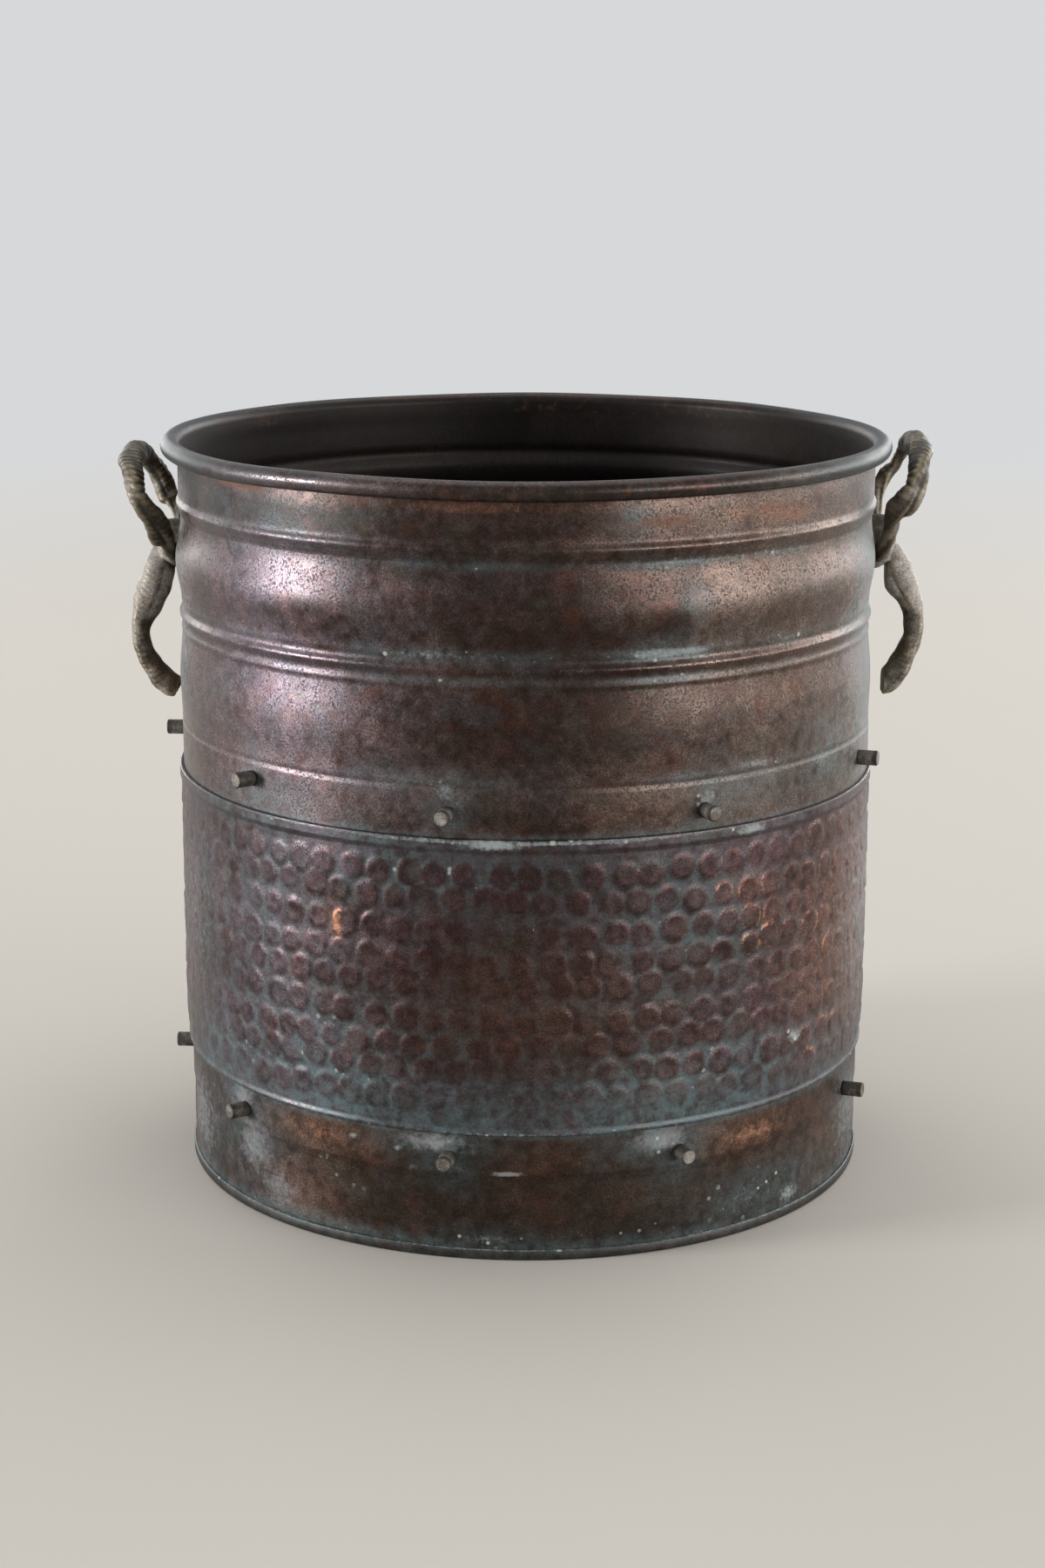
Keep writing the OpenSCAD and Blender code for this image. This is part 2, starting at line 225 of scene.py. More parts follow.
def raised(z, middle, half, height):
    """A smooth raised ring around a wall: its height at z, all in millimetres."""
    t = np.clip(np.abs(z - middle) / half, 0, 1)
    return height * np.cos(t * math.pi / 2) ** 2


def around_wall(azimuth, middle):
    """Angle from middle to azimuth, both in degrees, the short way round."""
    return (azimuth - middle + 180) % 360 - 180


def wander(azimuth, z, seed, waves=7):
    """Slow in-and-out drift of hand-worked sheet, about -1 to 1, over azimuth (degrees) and z."""
    rng = np.random.default_rng(seed)
    angle = np.radians(azimuth)
    total = np.zeros(np.broadcast(azimuth, z).shape)
    for n in range(2, 2 + waves):
        rise, phase, size = rng.uniform(-0.045, 0.045), rng.uniform(0, TAU), rng.uniform(0.5, 1)
        total += size * np.cos(n * angle + rise * z + phase) / math.sqrt(n)
    return total / 1.6


def dented(azimuth, z, dents, radius):
    """Depth of all the dents at each point; a dent is (azimuth, z, half width, half height, depth)."""
    depth = np.zeros(np.broadcast(azimuth, z).shape)
    for middle, height, half_w, half_h, deep in dents:
        across = np.radians(around_wall(azimuth, middle)) * radius / half_w
        up = (z - height) / half_h
        depth += deep * np.exp(-(across ** 2 + up ** 2) * 1.5)
    return depth


def patches(azimuth, z, spots, radius):
    """Strongest of a list of soft patches; a spot is (azimuth, z, half width, half height, strength)."""
    total = np.zeros(np.broadcast(azimuth, z).shape)
    for middle, height, half_w, half_h, strength in spots:
        across = np.radians(around_wall(azimuth, middle)) * radius / half_w
        up = (z - height) / half_h
        total = np.maximum(total, strength * np.exp(-(across ** 2 + up ** 2)))
    return total


def turned(radius, azimuth, z):
    """Points [row, column, xyz] from radii, azimuths in degrees from the front, and heights."""
    angle = np.radians(azimuth)
    x = radius * np.sin(angle)
    y = -radius * np.cos(angle)
    return np.stack(np.broadcast_arrays(x, y, z), axis=-1)


def finish_piece(piece, material, slot, *nodes):
    """Gives a piece its material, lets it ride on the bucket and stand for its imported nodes."""
    piece.data.materials.clear()
    piece.data.materials.append(material)
    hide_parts(*nodes)
    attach(piece, BODY)


# ---------------------------------------------------------------- wear that all sheets share

STUDS_A_ROW = 9
UPPER_STUDS = [box_mm(f"upper_stud_{i + 1}") for i in range(STUDS_A_ROW)]
LOWER_STUDS = [box_mm(f"lower_stud_{i + 1}") for i in range(STUDS_A_ROW)]


def stud_place(corners):
    """Azimuth in degrees and height of a stud's axis, from its box."""
    low, high = corners
    middle = (low + high) / 2
    return math.degrees(math.atan2(middle[0], -middle[1])), middle[2]


UPPER_PLACES = [stud_place(corners) for corners in UPPER_STUDS]
LOWER_PLACES = [stud_place(corners) for corners in LOWER_STUDS]


# ---------------------------------------------------------------- materials

SOFT = {"interpolation_type": "SMOOTHSTEP"}
TIMES = {"operation": "MULTIPLY"}
PLUS = {"operation": "ADD"}
LESS = {"operation": "SUBTRACT"}
GREATER = {"operation": "MAXIMUM"}
COLOURS = {"data_type": "RGBA", "out": 2}
NUMBERS = {"data_type": "FLOAT"}


def connect(tree, node, inputs):
    """Sets or links a node's inputs, listed in the order of its sockets or keyed by name or number."""
    for key, value in inputs.items() if isinstance(inputs, dict) else enumerate(inputs):
        if isinstance(value, bpy.types.NodeSocket):
            tree.links.new(value, node.inputs[key])
        else:
            node.inputs[key].default_value = value


def add_node(tree, kind, inputs=(), out=0, **settings):
    """Adds a shader node with its settings and links, and returns the output that out names."""
    node = tree.nodes.new("ShaderNode" + kind)
    for key, value in settings.items():
        setattr(node, key, value)
    connect(tree, node, inputs)
    return node.outputs[out] if len(node.outputs) else None


def new_material(name):
    """An empty node material with its Principled shader."""
    material = bpy.data.materials.new(name)
    material.use_nodes = True
    tree = material.node_tree
    tree.nodes.clear()
    surface = add_node(tree, "BsdfPrincipled")
    add_node(tree, "OutputMaterial", {"Surface": surface})
    return material, tree, surface.node


def per_mm(size_mm):
    """Pattern scale at which one cell measures size_mm, as the coordinates are in metres."""
    return 1 / (size_mm * MM)


def mottling(tree, size_mm, detail, roughness, stretch=None):
    """Uneven tone over the object, in patches of size_mm, stretched along an axis if asked."""
    place = add_node(tree, "NewGeometry", out="Position")
    if stretch:
        place = add_node(tree, "Mapping", {"Vector": place, "Scale": stretch})
    return add_node(tree, "TexNoise", {
        "Vector": place, "Scale": per_mm(size_mm), "Detail": detail, "Roughness": roughness}, out="Fac")


def grown(tree, name, grain, softness):
    """Where a growth shows: its painted amount, broken up by a grain, with an edge that soft."""
    amount = add_node(tree, "Attribute", out="Fac", attribute_name=name)
    edge = add_node(tree, "Math", [1.0, amount], **LESS)
    low = add_node(tree, "Math", [edge, softness], **LESS)
    high = add_node(tree, "Math", [edge, softness], **PLUS)
    return add_node(tree, "MapRange", [grain, low, high, 0.0, 1.0], **SOFT)


def dried_drops(tree, pitch_mm):
    """Scattered round dots of mixed sizes, where drops have dried: 1 inside a dot, 0 between."""
    place = add_node(tree, "NewGeometry", out="Position")
    cell = add_node(tree, "TexVoronoi", {
        "Vector": place, "Scale": per_mm(pitch_mm), "Randomness": 1.0}, out="Color")
    size = add_node(tree, "SeparateColor", [cell])
    reach = add_node(tree, "MapRange", [size, 0.45, 1.0, 0.02, 0.34], **SOFT)
    inside = add_node(tree, "Math", [reach, cell.node.outputs["Distance"]], **LESS)
    return add_node(tree, "Math", [inside, 12], use_clamp=True, **TIMES)


def lay(tree, surface, where, strength, tint, roughness=None):
    """Lays a stain or a growth over a surface, which is a colour and a roughness. Its tint shows by
    strength where it has grown, and its roughness, if it has one of its own, takes over there."""
    colour, rough = surface
    amount = where if strength == 1 else add_node(tree, "Math", [where, strength], **TIMES)
    colour = add_node(tree, "Mix", {0: amount, 6: colour, 7: tint}, **COLOURS)
    if roughness is not None:
        rough = add_node(tree, "Mix", {0: where, 2: rough, 3: roughness}, **NUMBERS)
    return colour, rough


def aged_copper(name, film, warm, shine):
    """Sheet copper under its old brown film: blotched dark brown and warm brown, with slate and pink stains, a
    dull sheen with fine dark pits in it, grey-green haze in the hollows, pale crusts where water stood, and
    small pale dots of dried drops among them. Its painted layers also carry painted light: near-black shade
    inside, dark reflections, highlights and a violet tint."""
    look = bpy.context.scene.bucket_patina
    material, tree, shader = new_material(name)
    clouds = mottling(tree, 38, 4, 0.6)
    mottle = mottling(tree, 5, 5, 0.68)
    grain = mottling(tree, 1.3, 4, 0.7)
    fine = mottling(tree, 0.6, 2, 0.6)
    flecks = mottling(tree, 0.95, 2, 0.6)
    tint = mottling(tree, 15, 5, 0.65, (1, 1, 1.4))
    blotch = mottling(tree, 17, 6, 0.68)
    worn, mauve, polish, soot, haze, crust, reddened = (
        add_node(tree, "Attribute", out="Fac", attribute_name=layer)
        for layer in ("worn", "mauve", "polish", "soot", "bloom", "verdigris", "ruddy"))

    # the film itself: dark where it is thick, warm or violet where it is thin
    half_clouds = add_node(tree, "Math", [clouds, 0.5], **TIMES)
    half_mottle = add_node(tree, "Math", [mottle, 0.5], **TIMES)
    thin = add_node(tree, "Math", [half_clouds, half_mottle], **PLUS)
    # the wear layer also carries painted light: a dark reflection painted across the front of each wall, and a
    # painted highlight on the rim
    worn = add_node(tree, "Math", [worn, 0.3], **TIMES)
    thin = add_node(tree, "Math", [thin, worn], **PLUS)
    thin = add_node(tree, "MapRange", [thin, 0.40, 0.86, 0.0, 1.0], **SOFT)
    warm = add_node(tree, "Mix", {0: mauve, 6: warm, 7: tuple(look.mauve)}, **COLOURS)
    colour = add_node(tree, "Mix", {0: thin, 6: film, 7: warm}, **COLOURS)
    rough = add_node(tree, "MapRange", [mottle, 0.3, 0.75, shine - 0.05, shine + 0.12], **SOFT)
    rough = add_node(tree, "Mix", {0: polish, 2: rough, 3: 0.2}, **NUMBERS)

    # red-brown, olive, slate and pink stains in it, the last two mostly on the violet side, which is partly
    # painted cool light
    red = add_node(tree, "MapRange", [tint, 0.52, 0.72, 0.0, 0.5], **SOFT)
    olive = add_node(tree, "MapRange", [tint, 0.47, 0.30, 0.0, 0.45], **SOFT)
    side = add_node(tree, "MapRange", [mauve, 0.05, 0.6, 0.35, 1.0], **SOFT)
    slate = add_node(tree, "MapRange", [blotch, 0.52, 0.64, 0.0, 0.42], **SOFT)
    slate = add_node(tree, "Math", [slate, side], **TIMES)
    pink = add_node(tree, "MapRange", [blotch, 0.47, 0.36, 0.0, 0.3], **SOFT)
    pink = add_node(tree, "Math", [pink, side], **TIMES)
    ruddy = add_node(tree, "MapRange", [mottle, 0.38, 0.62, 0.25, 1.0], **SOFT)
    ruddy = add_node(tree, "Math", [reddened, ruddy], **TIMES)
    surface = colour, rough
    for where, stain in ((red, srgb("#48281d")), (olive, srgb("#333427")), (slate, srgb("#43464b")),
                         (pink, srgb("#735855")), (ruddy, tuple(look.ruddy))):
        surface = lay(tree, surface, where, 1, stain)
    speckle = add_node(tree, "MapRange", [fine, 0.34, 0.66, 0.62, 1.38], **SOFT)
    colour = add_node(tree, "VectorMath", {0: surface[0], "Scale": speckle}, operation="SCALE")

    # what has grown on it, from the bottom up, with the near-black painted shade among it
    crowd = add_node(tree, "MapRange", [mottle, 0.40, 0.58, 0.1, 1.0], **SOFT)
    pits = add_node(tree, "MapRange", [flecks, 0.51, 0.58, 0.0, 1.0], **SOFT)
    pits = add_node(tree, "Math", [pits, crowd], **TIMES)
    wisps = add_node(tree, "MapRange", [mottle, 0.3, 0.7, 0.35, 1.1], **SOFT)
    threads = add_node(tree, "MapRange", [grain, 0.3, 0.7, 0.7, 1.15], **SOFT)
    wisps = add_node(tree, "Math", [wisps, threads], **TIMES)
    bloom = add_node(tree, "Math", [haze, wisps], use_clamp=True, **TIMES)
    bare = grown(tree, "bare", mottling(tree, 2.4, 5, 0.7), 0.2)
    rust = grown(tree, "rust", mottling(tree, 3.5, 5, 0.7), 0.3)
    salts = grown(tree, "verdigris", mottling(tree, 1.8, 6, 0.75), 0.2)
    scale = grown(tree, "lime", mottling(tree, 2.6, 6, 0.72), 0.3)
    chalky = add_node(tree, "MapRange", [tint, 0.42, 0.58, 0.0, 1.0], **SOFT)
    chalk = add_node(tree, "Mix", {0: chalky, 6: srgb("#7c8886"), 7: tuple(look.lime)}, **COLOURS)
    wet = add_node(tree, "MapRange", [crust, 0.12, 0.3, 0.0, 1.0], **SOFT)
    specks = add_node(tree, "Math", [dried_drops(tree, 3.4), wet], **TIMES)
    surface = colour, surface[1]
    for where, strength, growth, roughness in (
            # the near-black layer is painted shade, laid inside the bucket, on the rim's ends and on the
            # neck's left
            (pits, 0.66, srgb("#211d1c"), 0.58), (soot, 1, srgb("#161311"), 0.55),
            (bloom, 1, tuple(look.bloom), 0.55), (bare, 0.8, tuple(look.bare), 0.36),
            (rust, 0.7, tuple(look.rust), None), (salts, 0.7, tuple(look.verdigris), None),
            (scale, 0.6, chalk, None), (specks, 0.7, srgb("#a1a59e"), None)):
        surface = lay(tree, surface, where, strength, growth, roughness)
    colour, rough = surface

    # crusts and rust are no metal and stay matt, and haze dulls the metal under it
    cover = add_node(tree, "Math", [salts, scale], **GREATER)
    cover = add_node(tree, "Math", [specks, cover], **GREATER)
    matt = add_node(tree, "Math", [cover, rust], **GREATER)
    metal = add_node(tree, "Mix", {0: bare, 2: 0.78, 3: 0.9}, **NUMBERS)
    metal = add_node(tree, "Mix", {0: matt, 2: metal, 3: 0.1}, **NUMBERS)
    metal = add_node(tree, "Mix", {0: bloom, 2: metal, 3: 0.35}, **NUMBERS)
    rough = add_node(tree, "Mix", {0: matt, 2: rough, 3: 0.75}, **NUMBERS)

    height = None
    for layer, depth, way in ((grain, 0.3, PLUS), (mottle, 0.6, PLUS), (pits, 0.3, LESS), (cover, 0.4, PLUS)):
        part = add_node(tree, "Math", [layer, depth], **TIMES)
        height = add_node(tree, "Math", [height, part], **way) if height is not None else part
    bump = add_node(tree, "Bump", {"Height": height, "Strength": 0.3, "Distance": 0.00035})
    connect(tree, shader, {
        "Base Color": colour, "Metallic": metal, "Roughness": rough, "Normal": bump,
        "Specular IOR Level": 0.3, "Coat Weight": 0.08, "Coat Roughness": 0.33})
    return material


def aged_brass(name):
    """Sand-cast brass left dull: grey-olive, dusty on its faces and painted lighter on those turned out, with
    brown stains and a darker crown, painted shade in the hollows and painted shadow under the arms, and rubbed
    to a yellow-brown shine along the ridges."""
    look = bpy.context.scene.bucket_patina
    material, tree, shader = new_material(name)
    mottle = mottling(tree, 5, 5, 0.68)
    grain = mottling(tree, 0.9, 4, 0.7)
    fine = mottling(tree, 0.6, 2, 0.6)
    dusted, sunk, soiled = (
        add_node(tree, "Attribute", out="Fac", attribute_name=layer) for layer in ("dust", "hollow", "soiled"))
    body = tuple(look.brass)
    dull = tuple(c * 0.5 for c in body[:3]) + (1,)
    clean = add_node(tree, "MapRange", [mottle, 0.3, 0.72, 0.0, 1.0], **SOFT)
    colour = add_node(tree, "Mix", {0: clean, 6: dull, 7: body}, **COLOURS)
    rough = add_node(tree, "MapRange", [mottle, 0.3, 0.7, 0.5, 0.68], **SOFT)

    settled = add_node(tree, "MapRange", [mottling(tree, 9, 4, 0.6), 0.40, 0.62, 0.0, 1.0], **SOFT)
    settled = add_node(tree, "Math", [settled, 0.5], **TIMES)
    dust = add_node(tree, "Math", [settled, dusted], **PLUS)
    dust = add_node(tree, "MapRange", [dust, 0.3, 1.2, 0.0, 1.0], **SOFT)
    dust = add_node(tree, "Math", [dust, 0.8], **TIMES)
    brown = add_node(tree, "MapRange", [mottling(tree, 8, 4, 0.65), 0.53, 0.66, 0.0, 0.6], **SOFT)
    surface = colour, rough
    for where, stain in ((dust, srgb("#8a847d")), (brown, srgb("#523c25"))):
        surface = lay(tree, surface, where, 1, stain)
    speckle = add_node(tree, "MapRange", [fine, 0.34, 0.66, 0.6, 1.4], **SOFT)
    colour = add_node(tree, "VectorMath", {0: surface[0], "Scale": speckle}, operation="SCALE")

    # painted shade in the hollows and painted shadow under the arms and by the pad, with a darker crown, laid
    # on in one near-black colour
    hollow = add_node(tree, "Math", [sunk, soiled], **GREATER)
    hollow = add_node(tree, "Math", [hollow, 0.92], **TIMES)
    ridge = grown(tree, "ridge", mottling(tree, 1.6, 4, 0.7), 0.25)
    ridge = add_node(tree, "Math", [ridge, 0.5], **TIMES)
    bare = grown(tree, "bare", mottling(tree, 1.8, 4, 0.7), 0.25)
    surface = colour, rough
    for where, strength, wear in ((hollow, 1, srgb("#1a1511")), (ridge, 1, srgb("#83765f")),
                                  (bare, 0.7, srgb("#9c8269"))):
        surface = lay(tree, surface, where, strength, wear)
    rubbed = add_node(tree, "Math", [ridge, bare], **GREATER)
    rough = add_node(tree, "Mix", {0: rubbed, 2: rough, 3: 0.42}, **NUMBERS)
    metal = add_node(tree, "Mix", {0: dust, 2: 0.45, 3: 0.1}, **NUMBERS)
    metal = add_node(tree, "Mix", {0: rubbed, 2: metal, 3: 0.8}, **NUMBERS)
    bump = add_node(tree, "Bump", {"Height": grain, "Strength": 0.45, "Distance": 0.0003})
    connect(tree, shader, {"Base Color": surface[0], "Metallic": metal, "Roughness": rough, "Normal": bump})
    return material


def rusted_iron(name):
    """Plain iron wire, screws and washers gone brown: matt orange-brown crust over dark metal."""
    look = bpy.context.scene.bucket_patina
    material, tree, shader = new_material(name)
    crust = mottling(tree, 1.4, 5, 0.7)
    amount = add_node(tree, "MapRange", [crust, 0.35, 0.7, 0.0, 1.0], **SOFT)
    colour = add_node(tree, "Mix", {0: amount, 6: srgb("#2e2521"), 7: tuple(look.rust)}, **COLOURS)
    rough = add_node(tree, "MapRange", [crust, 0.3, 0.7, 0.55, 0.9], **SOFT)
    bump = add_node(tree, "Bump", {"Height": crust, "Strength": 0.5, "Distance": 0.0003})
    connect(tree, shader, {"Base Color": colour, "Metallic": 0.35, "Roughness": rough, "Normal": bump})
    return material


# ---------------------------------------------------------------- upper shell

SHELL_COLUMNS = 320
ROLL_END = 225
UPPER_DENTS = [
    (-62, 207, 16, 12, 0.7), (14, 236, 10, 6, 0.35), (58, 198, 14, 9, 0.6), (-20, 188, 9, 3, 0.25),
    (84, 244, 12, 10, 0.7), (-96, 196, 15, 8, 0.6), (150, 215, 22, 14, 1.0), (205, 182, 16, 10, 0.8),
    (118, 258, 12, 8, 0.5), (238, 250, 14, 9, 0.6),
]
BELT_TOP = BAND_TOP + 19.3


def upper_wall(z):
    """Radius of the upper wall's outer face at heights z: neck, two beads, belly, swelling, belt."""
    d = RIM_TOP - z
    plain = np.interp(d, [29, 30.5, 64.5, 66, 74.5, 112, 114], [
        NECK_R, NECK_R - 0.8, NECK_R - 0.8, NECK_R - 1.1, NECK_R - 1.1, NECK_R - 0.15, NECK_R])
    return (plain + raised(d, 25.9, 2.9, 0.95) + raised(d, 48.5, 16.6, 2.2) + raised(d, 69.8, 2.9, 1.1)
            + raised(d, 75.6, 1.6, 0.35) + raised(d, 94, 19.5, 0.85) - raised(d, 113.6, 1.3, 0.4))


def eased(values, step, reach):
    """Values along a line, averaged over about reach millimetres, ends kept."""
    width = max(1, int(round(reach / step)))
    kernel = np.hanning(2 * width + 1)
    padded = np.pad(values, width, mode="edge")
    return np.convolve(padded, kernel / kernel.sum(), mode="valid")


def upper_profile():
    """The sheet's closed outline: up the outside, round the wire, back over the top, down the inside."""
    step = 0.85
    z_up = np.arange(SHELL_LOW[2], ROLL_Z, step)
    r_up = eased(upper_wall(z_up), step, 0.8)
    angles = np.radians(np.arange(180, ROLL_END - 361, -12))
    inner_roll = (ROLL_R + ROLL_IN * np.cos(angles), ROLL_Z + ROLL_IN * np.sin(angles))
    fine = np.radians(np.linspace(ROLL_END - 360, 180, 36))
    outer_roll = (ROLL_R + ROLL_OUT * np.cos(fine), ROLL_Z + ROLL_OUT * np.sin(fine))
    z_down = z_up[::-2]
    r_down = r_up[::-2] - SHEET
    radius = np.concatenate([r_up, inner_roll[0], outer_roll[0], r_down])
    height = np.concatenate([z_up, inner_roll[1], outer_roll[1], z_down])
    return radius, height, len(z_up)


def shell_patina(mesh, azimuth, z, radius, inside):
    """Paints the upper shell's growths and wear, and painted light: a dark reflection on the front, a
    highlight on the rim, shade inside and at the rim's ends, a violet tint on the left and pale sides. The
    roll of the rim comes after the outer wall in the outline, so it counts as inside there, and shown adds it
    again."""
    def spots(*rows):
        return patches(azimuth, z, rows, NECK_R)

    outside = 1 - inside
    rim = smooth_step(RIM_TOP - 9.5, RIM_TOP - 7.2, z)
    roll = rim * smooth_step(NECK_R - 1.0, NECK_R + 1.5, radius)
    shown = np.maximum(outside, roll)
    ends = smooth_step(0.35, 0.95, np.abs(np.sin(np.radians(azimuth))))
    ragged = np.clip(0.5 + 0.75 * wander(azimuth, 0.4 * z, 53, 18), 0.1, 1.15)
    # the haze grows stronger towards the right, partly as painted light standing in for the greener light from
    # that side
    rightward = 0.75 + 0.35 * np.sin(np.radians(azimuth))
    from_front = around_wall(azimuth, 0)

    lines = [(RIM_TOP - 64.8, 2.6, 0.75), (RIM_TOP - 31.6, 2.0, 0.5), (RIM_TOP - 74.0, 1.4, 0.5)]
    haze = ragged * rightward * sum(strength * line_at(z, level, half) for level, half, strength in lines)
    crease = 0.6 * ragged * line_at(z, BELT_TOP + 1.0, 3.2) * smooth_step(8, 40, from_front)
    foot = 0.45 * line_at(z, BAND_TOP + 0.5, 1.5)
    halos = [(a, h, 9, 9, 0.55) for a, h in UPPER_PLACES] + [(a, h + 8, 5, 8, 0.45) for a, h in UPPER_PLACES]
    broad = spots(
        *halos, (-12, 186, 30, 4, 0.4), (35, 180, 30, 10, 0.45), (58, 184, 20, 14, 0.55),
        (-48, 171, 22, 4, 0.5), (-80, 240, 20, 30, 0.3), (80, 200, 25, 40, 0.35), (-46, 279, 60, 12, 0.22),
        (72, 262, 20, 26, 0.3), (16, 283, 7, 6, 0.4), (23, 236, 14, 4, 0.35), (26, 250, 6, 9, 0.4))
    bloom = np.maximum(np.maximum(haze, crease), np.maximum(foot, broad))
    # painted highlight along the roll of the rim, strong at the front left and weaker on the right: the copper
    # there is made lighter, barer and smoother
    gleam = spots((-33, RIM_TOP - 3.5, 46, 3.2, 1.0), (44, RIM_TOP - 3, 40, 3, 0.4))

    ruddy = spots(
        (44, 281, 16, 4, 0.45), (34, 282, 8, 3, 0.4), (-10, 288, 60, 2, 0.4), (46, 214, 26, 10, 0.2),
        (20, 176, 20, 6, 0.3), (-50, 186, 16, 8, 0.25), (62, 250, 12, 10, 0.3), (160, 240, 60, 30, 0.35),
        (-120, 200, 50, 20, 0.35), (110, 268, 40, 12, 0.35))
    crust = spots(
        (38, 187, 16, 2.2, 0.5), (29, 177, 6, 5, 0.5), (55, 182, 10, 5, 0.45), (-12, 181, 5, 6, 0.45),
        (-12, 184, 9, 2, 0.4), (140, 187, 30, 3, 0.5), (-140, 187, 30, 3, 0.4))
    rust = spots(
        (45, 279, 22, 4, 0.5), (20, 281, 26, 3, 0.48), (-50, RIM_TOP - 9, 22, 1.8, 0.6),
        (62, 276, 10, 6, 0.42), (-8, 287, 30, 3, 0.4), (40, 283, 10, 3, 0.6), (150, 280, 30, 5, 0.5))
    # the two wide pale patches on both sides are scale and partly painted sheen, where the sides catch the
    # pale backdrop
    lime = spots((-82, 225, 42, 70, 0.58), (80, 225, 52, 90, 0.72))
    # violet tint on the left is painted cool light from the left lamp; the patch at the back is film
    mauve = spots((-40, 230, 70, 90, 0.9), (150, 220, 90, 60, 0.7))
    # painted dark reflection: thicker, darker film across the front of the belly and the belt, between the
    # lamps' highlights
    dark = spots((0, 245, 66, 45, 1.1), (22, 244, 12, 14, 1.1), (3, 205, 76, 26, 1.2), (5, 172, 90, 14, 0.7))
    bare = (0.26 * line_at(z, ROLL_Z + 1.6, 1.2) + 0.30 * line_at(z, RIM_TOP - 69.8, 1.6)
            + 0.25 * line_at(z, RIM_TOP - 25.9, 1.5))
    crests = [(RIM_TOP - 69.8, 1.2), (RIM_TOP - 25.9, 1.2), (RIM_TOP - 77, 1.0)]
    shine = sum(line_at(z, level, half) for level, half in crests)
    # painted shade: the rim grows darker towards its left and right ends, and a patch on the neck's left is
    # darkened, to dim the light they catch
    grime = 0.55 * rim * ends * (1 - gleam) + spots((-44, 282, 54, 10, 0.42))
    # painted shade: the neck's film is darker at the front and on the left than on the right
    neck = smooth_step(RIM_TOP - 26, RIM_TOP - 20, z) * (1.0 - 0.8 * smooth_step(6, 24, from_front))
    covered = np.maximum(np.maximum(dark, neck), 1.1 * rim) * (1 - gleam)
    paint_sheet(
        mesh, z.shape,
        # the grey-green haze on the roll grows towards the rim's left and right ends as a painted grey
        # reflection of the backdrop
        bloom=bloom * outside * (1 - rim) + (0.06 + 0.3 * ends) * roll,
        ruddy=outside * ruddy,
        verdigris=np.maximum(crust, 0.8 * haze) * outside,
        rust=shown * rust + 0.24 * rim * (0.5 + 0.5 * ragged),
        bare=np.maximum(bare, 0.14 * gleam) * shown,
        lime=outside * lime,
        # painted shade: the inside goes near-black, and so do the rim's ends and a patch on the neck's left
        soot=np.maximum(inside * (0.88 - 0.7 * roll), shown * grime),
        polish=shown * np.clip(0.55 * shine + rim * np.maximum(0.7 * (1 - ends), gleam), 0, 1),
        mauve=mauve,
        worn=0.6 - 0.8 * covered + 0.6 * gleam)


class BUCKET_OT_add_upper_shell(bpy.types.Operator):
    """Swages the upper wall and rolls its rim around the wire"""
    bl_idname = "bucket.add_upper_shell"
    bl_label = "Add upper shell"

    def execute(self, context):
        wall = context.scene.bucket_wall
        radius, height, outer_rows = upper_profile()
        azimuth = np.arange(SHELL_COLUMNS)[None, :] * 360 / SHELL_COLUMNS
        z = height[:, None] + 0 * azimuth
        drift = wall.wander * wander(azimuth, z, 11)
        drift -= wall.dent_depth * dented(azimuth, z, UPPER_DENTS, NECK_R)
        collar = smooth_step(RIM_TOP - 14, RIM_TOP - 6, z)
        drift = drift * (1 - 0.75 * collar) - 0.28 * collar
        drift += 0.09 * collar * wander(azimuth, 1.5 * z, 29, 44)
        drift *= smooth_step(BAND_TOP - 6, BAND_TOP + 8, z)
        wave = wander(azimuth, 0 * z, 23, 9)
        lift = wall.rim_wave * (wave - wave.max()) * smooth_step(RIM_TOP - 30, RIM_TOP - 8, z)
        mesh = grid_mesh("upper_shell_worked", turned(radius[:, None] + drift, azimuth, z + lift))
        inside = np.broadcast_to((np.arange(len(radius)) >= outer_rows)[:, None], z.shape)
        shell_patina(mesh, azimuth, z, radius[:, None], inside)
        piece = put_in_scene("upper_shell_worked", mesh)
        look = context.scene.bucket_patina
        copper = aged_copper("Aged copper, swaged", tuple(look.tarnish), tuple(look.warm), 0.35)
        finish_piece(piece, copper, "upper_copper", "upper_shell")
        return {"FINISHED"}


# ---------------------------------------------------------------- hammered band

BAND_COLUMNS = 836
HEM = 4.8
EDGE_BEAD = 2.0


def band_profile():
    """Closed outline of the band: down the outside from the hem, and back up the inside."""
    top_edge = [BAND_TOP, BAND_TOP - 0.2]
    z_hem = np.linspace(BAND_TOP - 0.3, BAND_TOP - HEM + 0.4, 5)
    z_face = np.linspace(BAND_TOP - HEM - 0.1, BAND_FLOOR + EDGE_BEAD + 0.2, 98)
    draw_in = 0.8 * (1 - np.sin(np.clip((z_face - BAND_FLOOR - EDGE_BEAD) / 22, 0, 1) * math.pi / 2))
    r_face = BAND_R - draw_in
    low_r = r_face[-1]
    z_bead = np.array([BAND_FLOOR + 1.7, BAND_FLOOR + 1.1, BAND_FLOOR + 0.5, BAND_FLOOR + 0.05])
    r_bead = low_r + np.array([0.32, 0.4, 0.36, 0.1])
    inner_z = np.concatenate([[BAND_FLOOR], np.linspace(BAND_FLOOR + 1, BAND_TOP - 0.4, 8), [BAND_TOP]])
    inner_r = np.interp(inner_z, z_face[::-1], r_face[::-1]) - SHEET
    radius = np.concatenate([[BAND_R + 0.35, BAND_R + 0.72], np.full(5, BAND_R + SHEET * 0.95), r_face,
                             r_bead, inner_r])
    height = np.concatenate([top_edge, z_hem, z_face, z_bead, inner_z])
    return radius, height, 7, 7 + len(z_face)


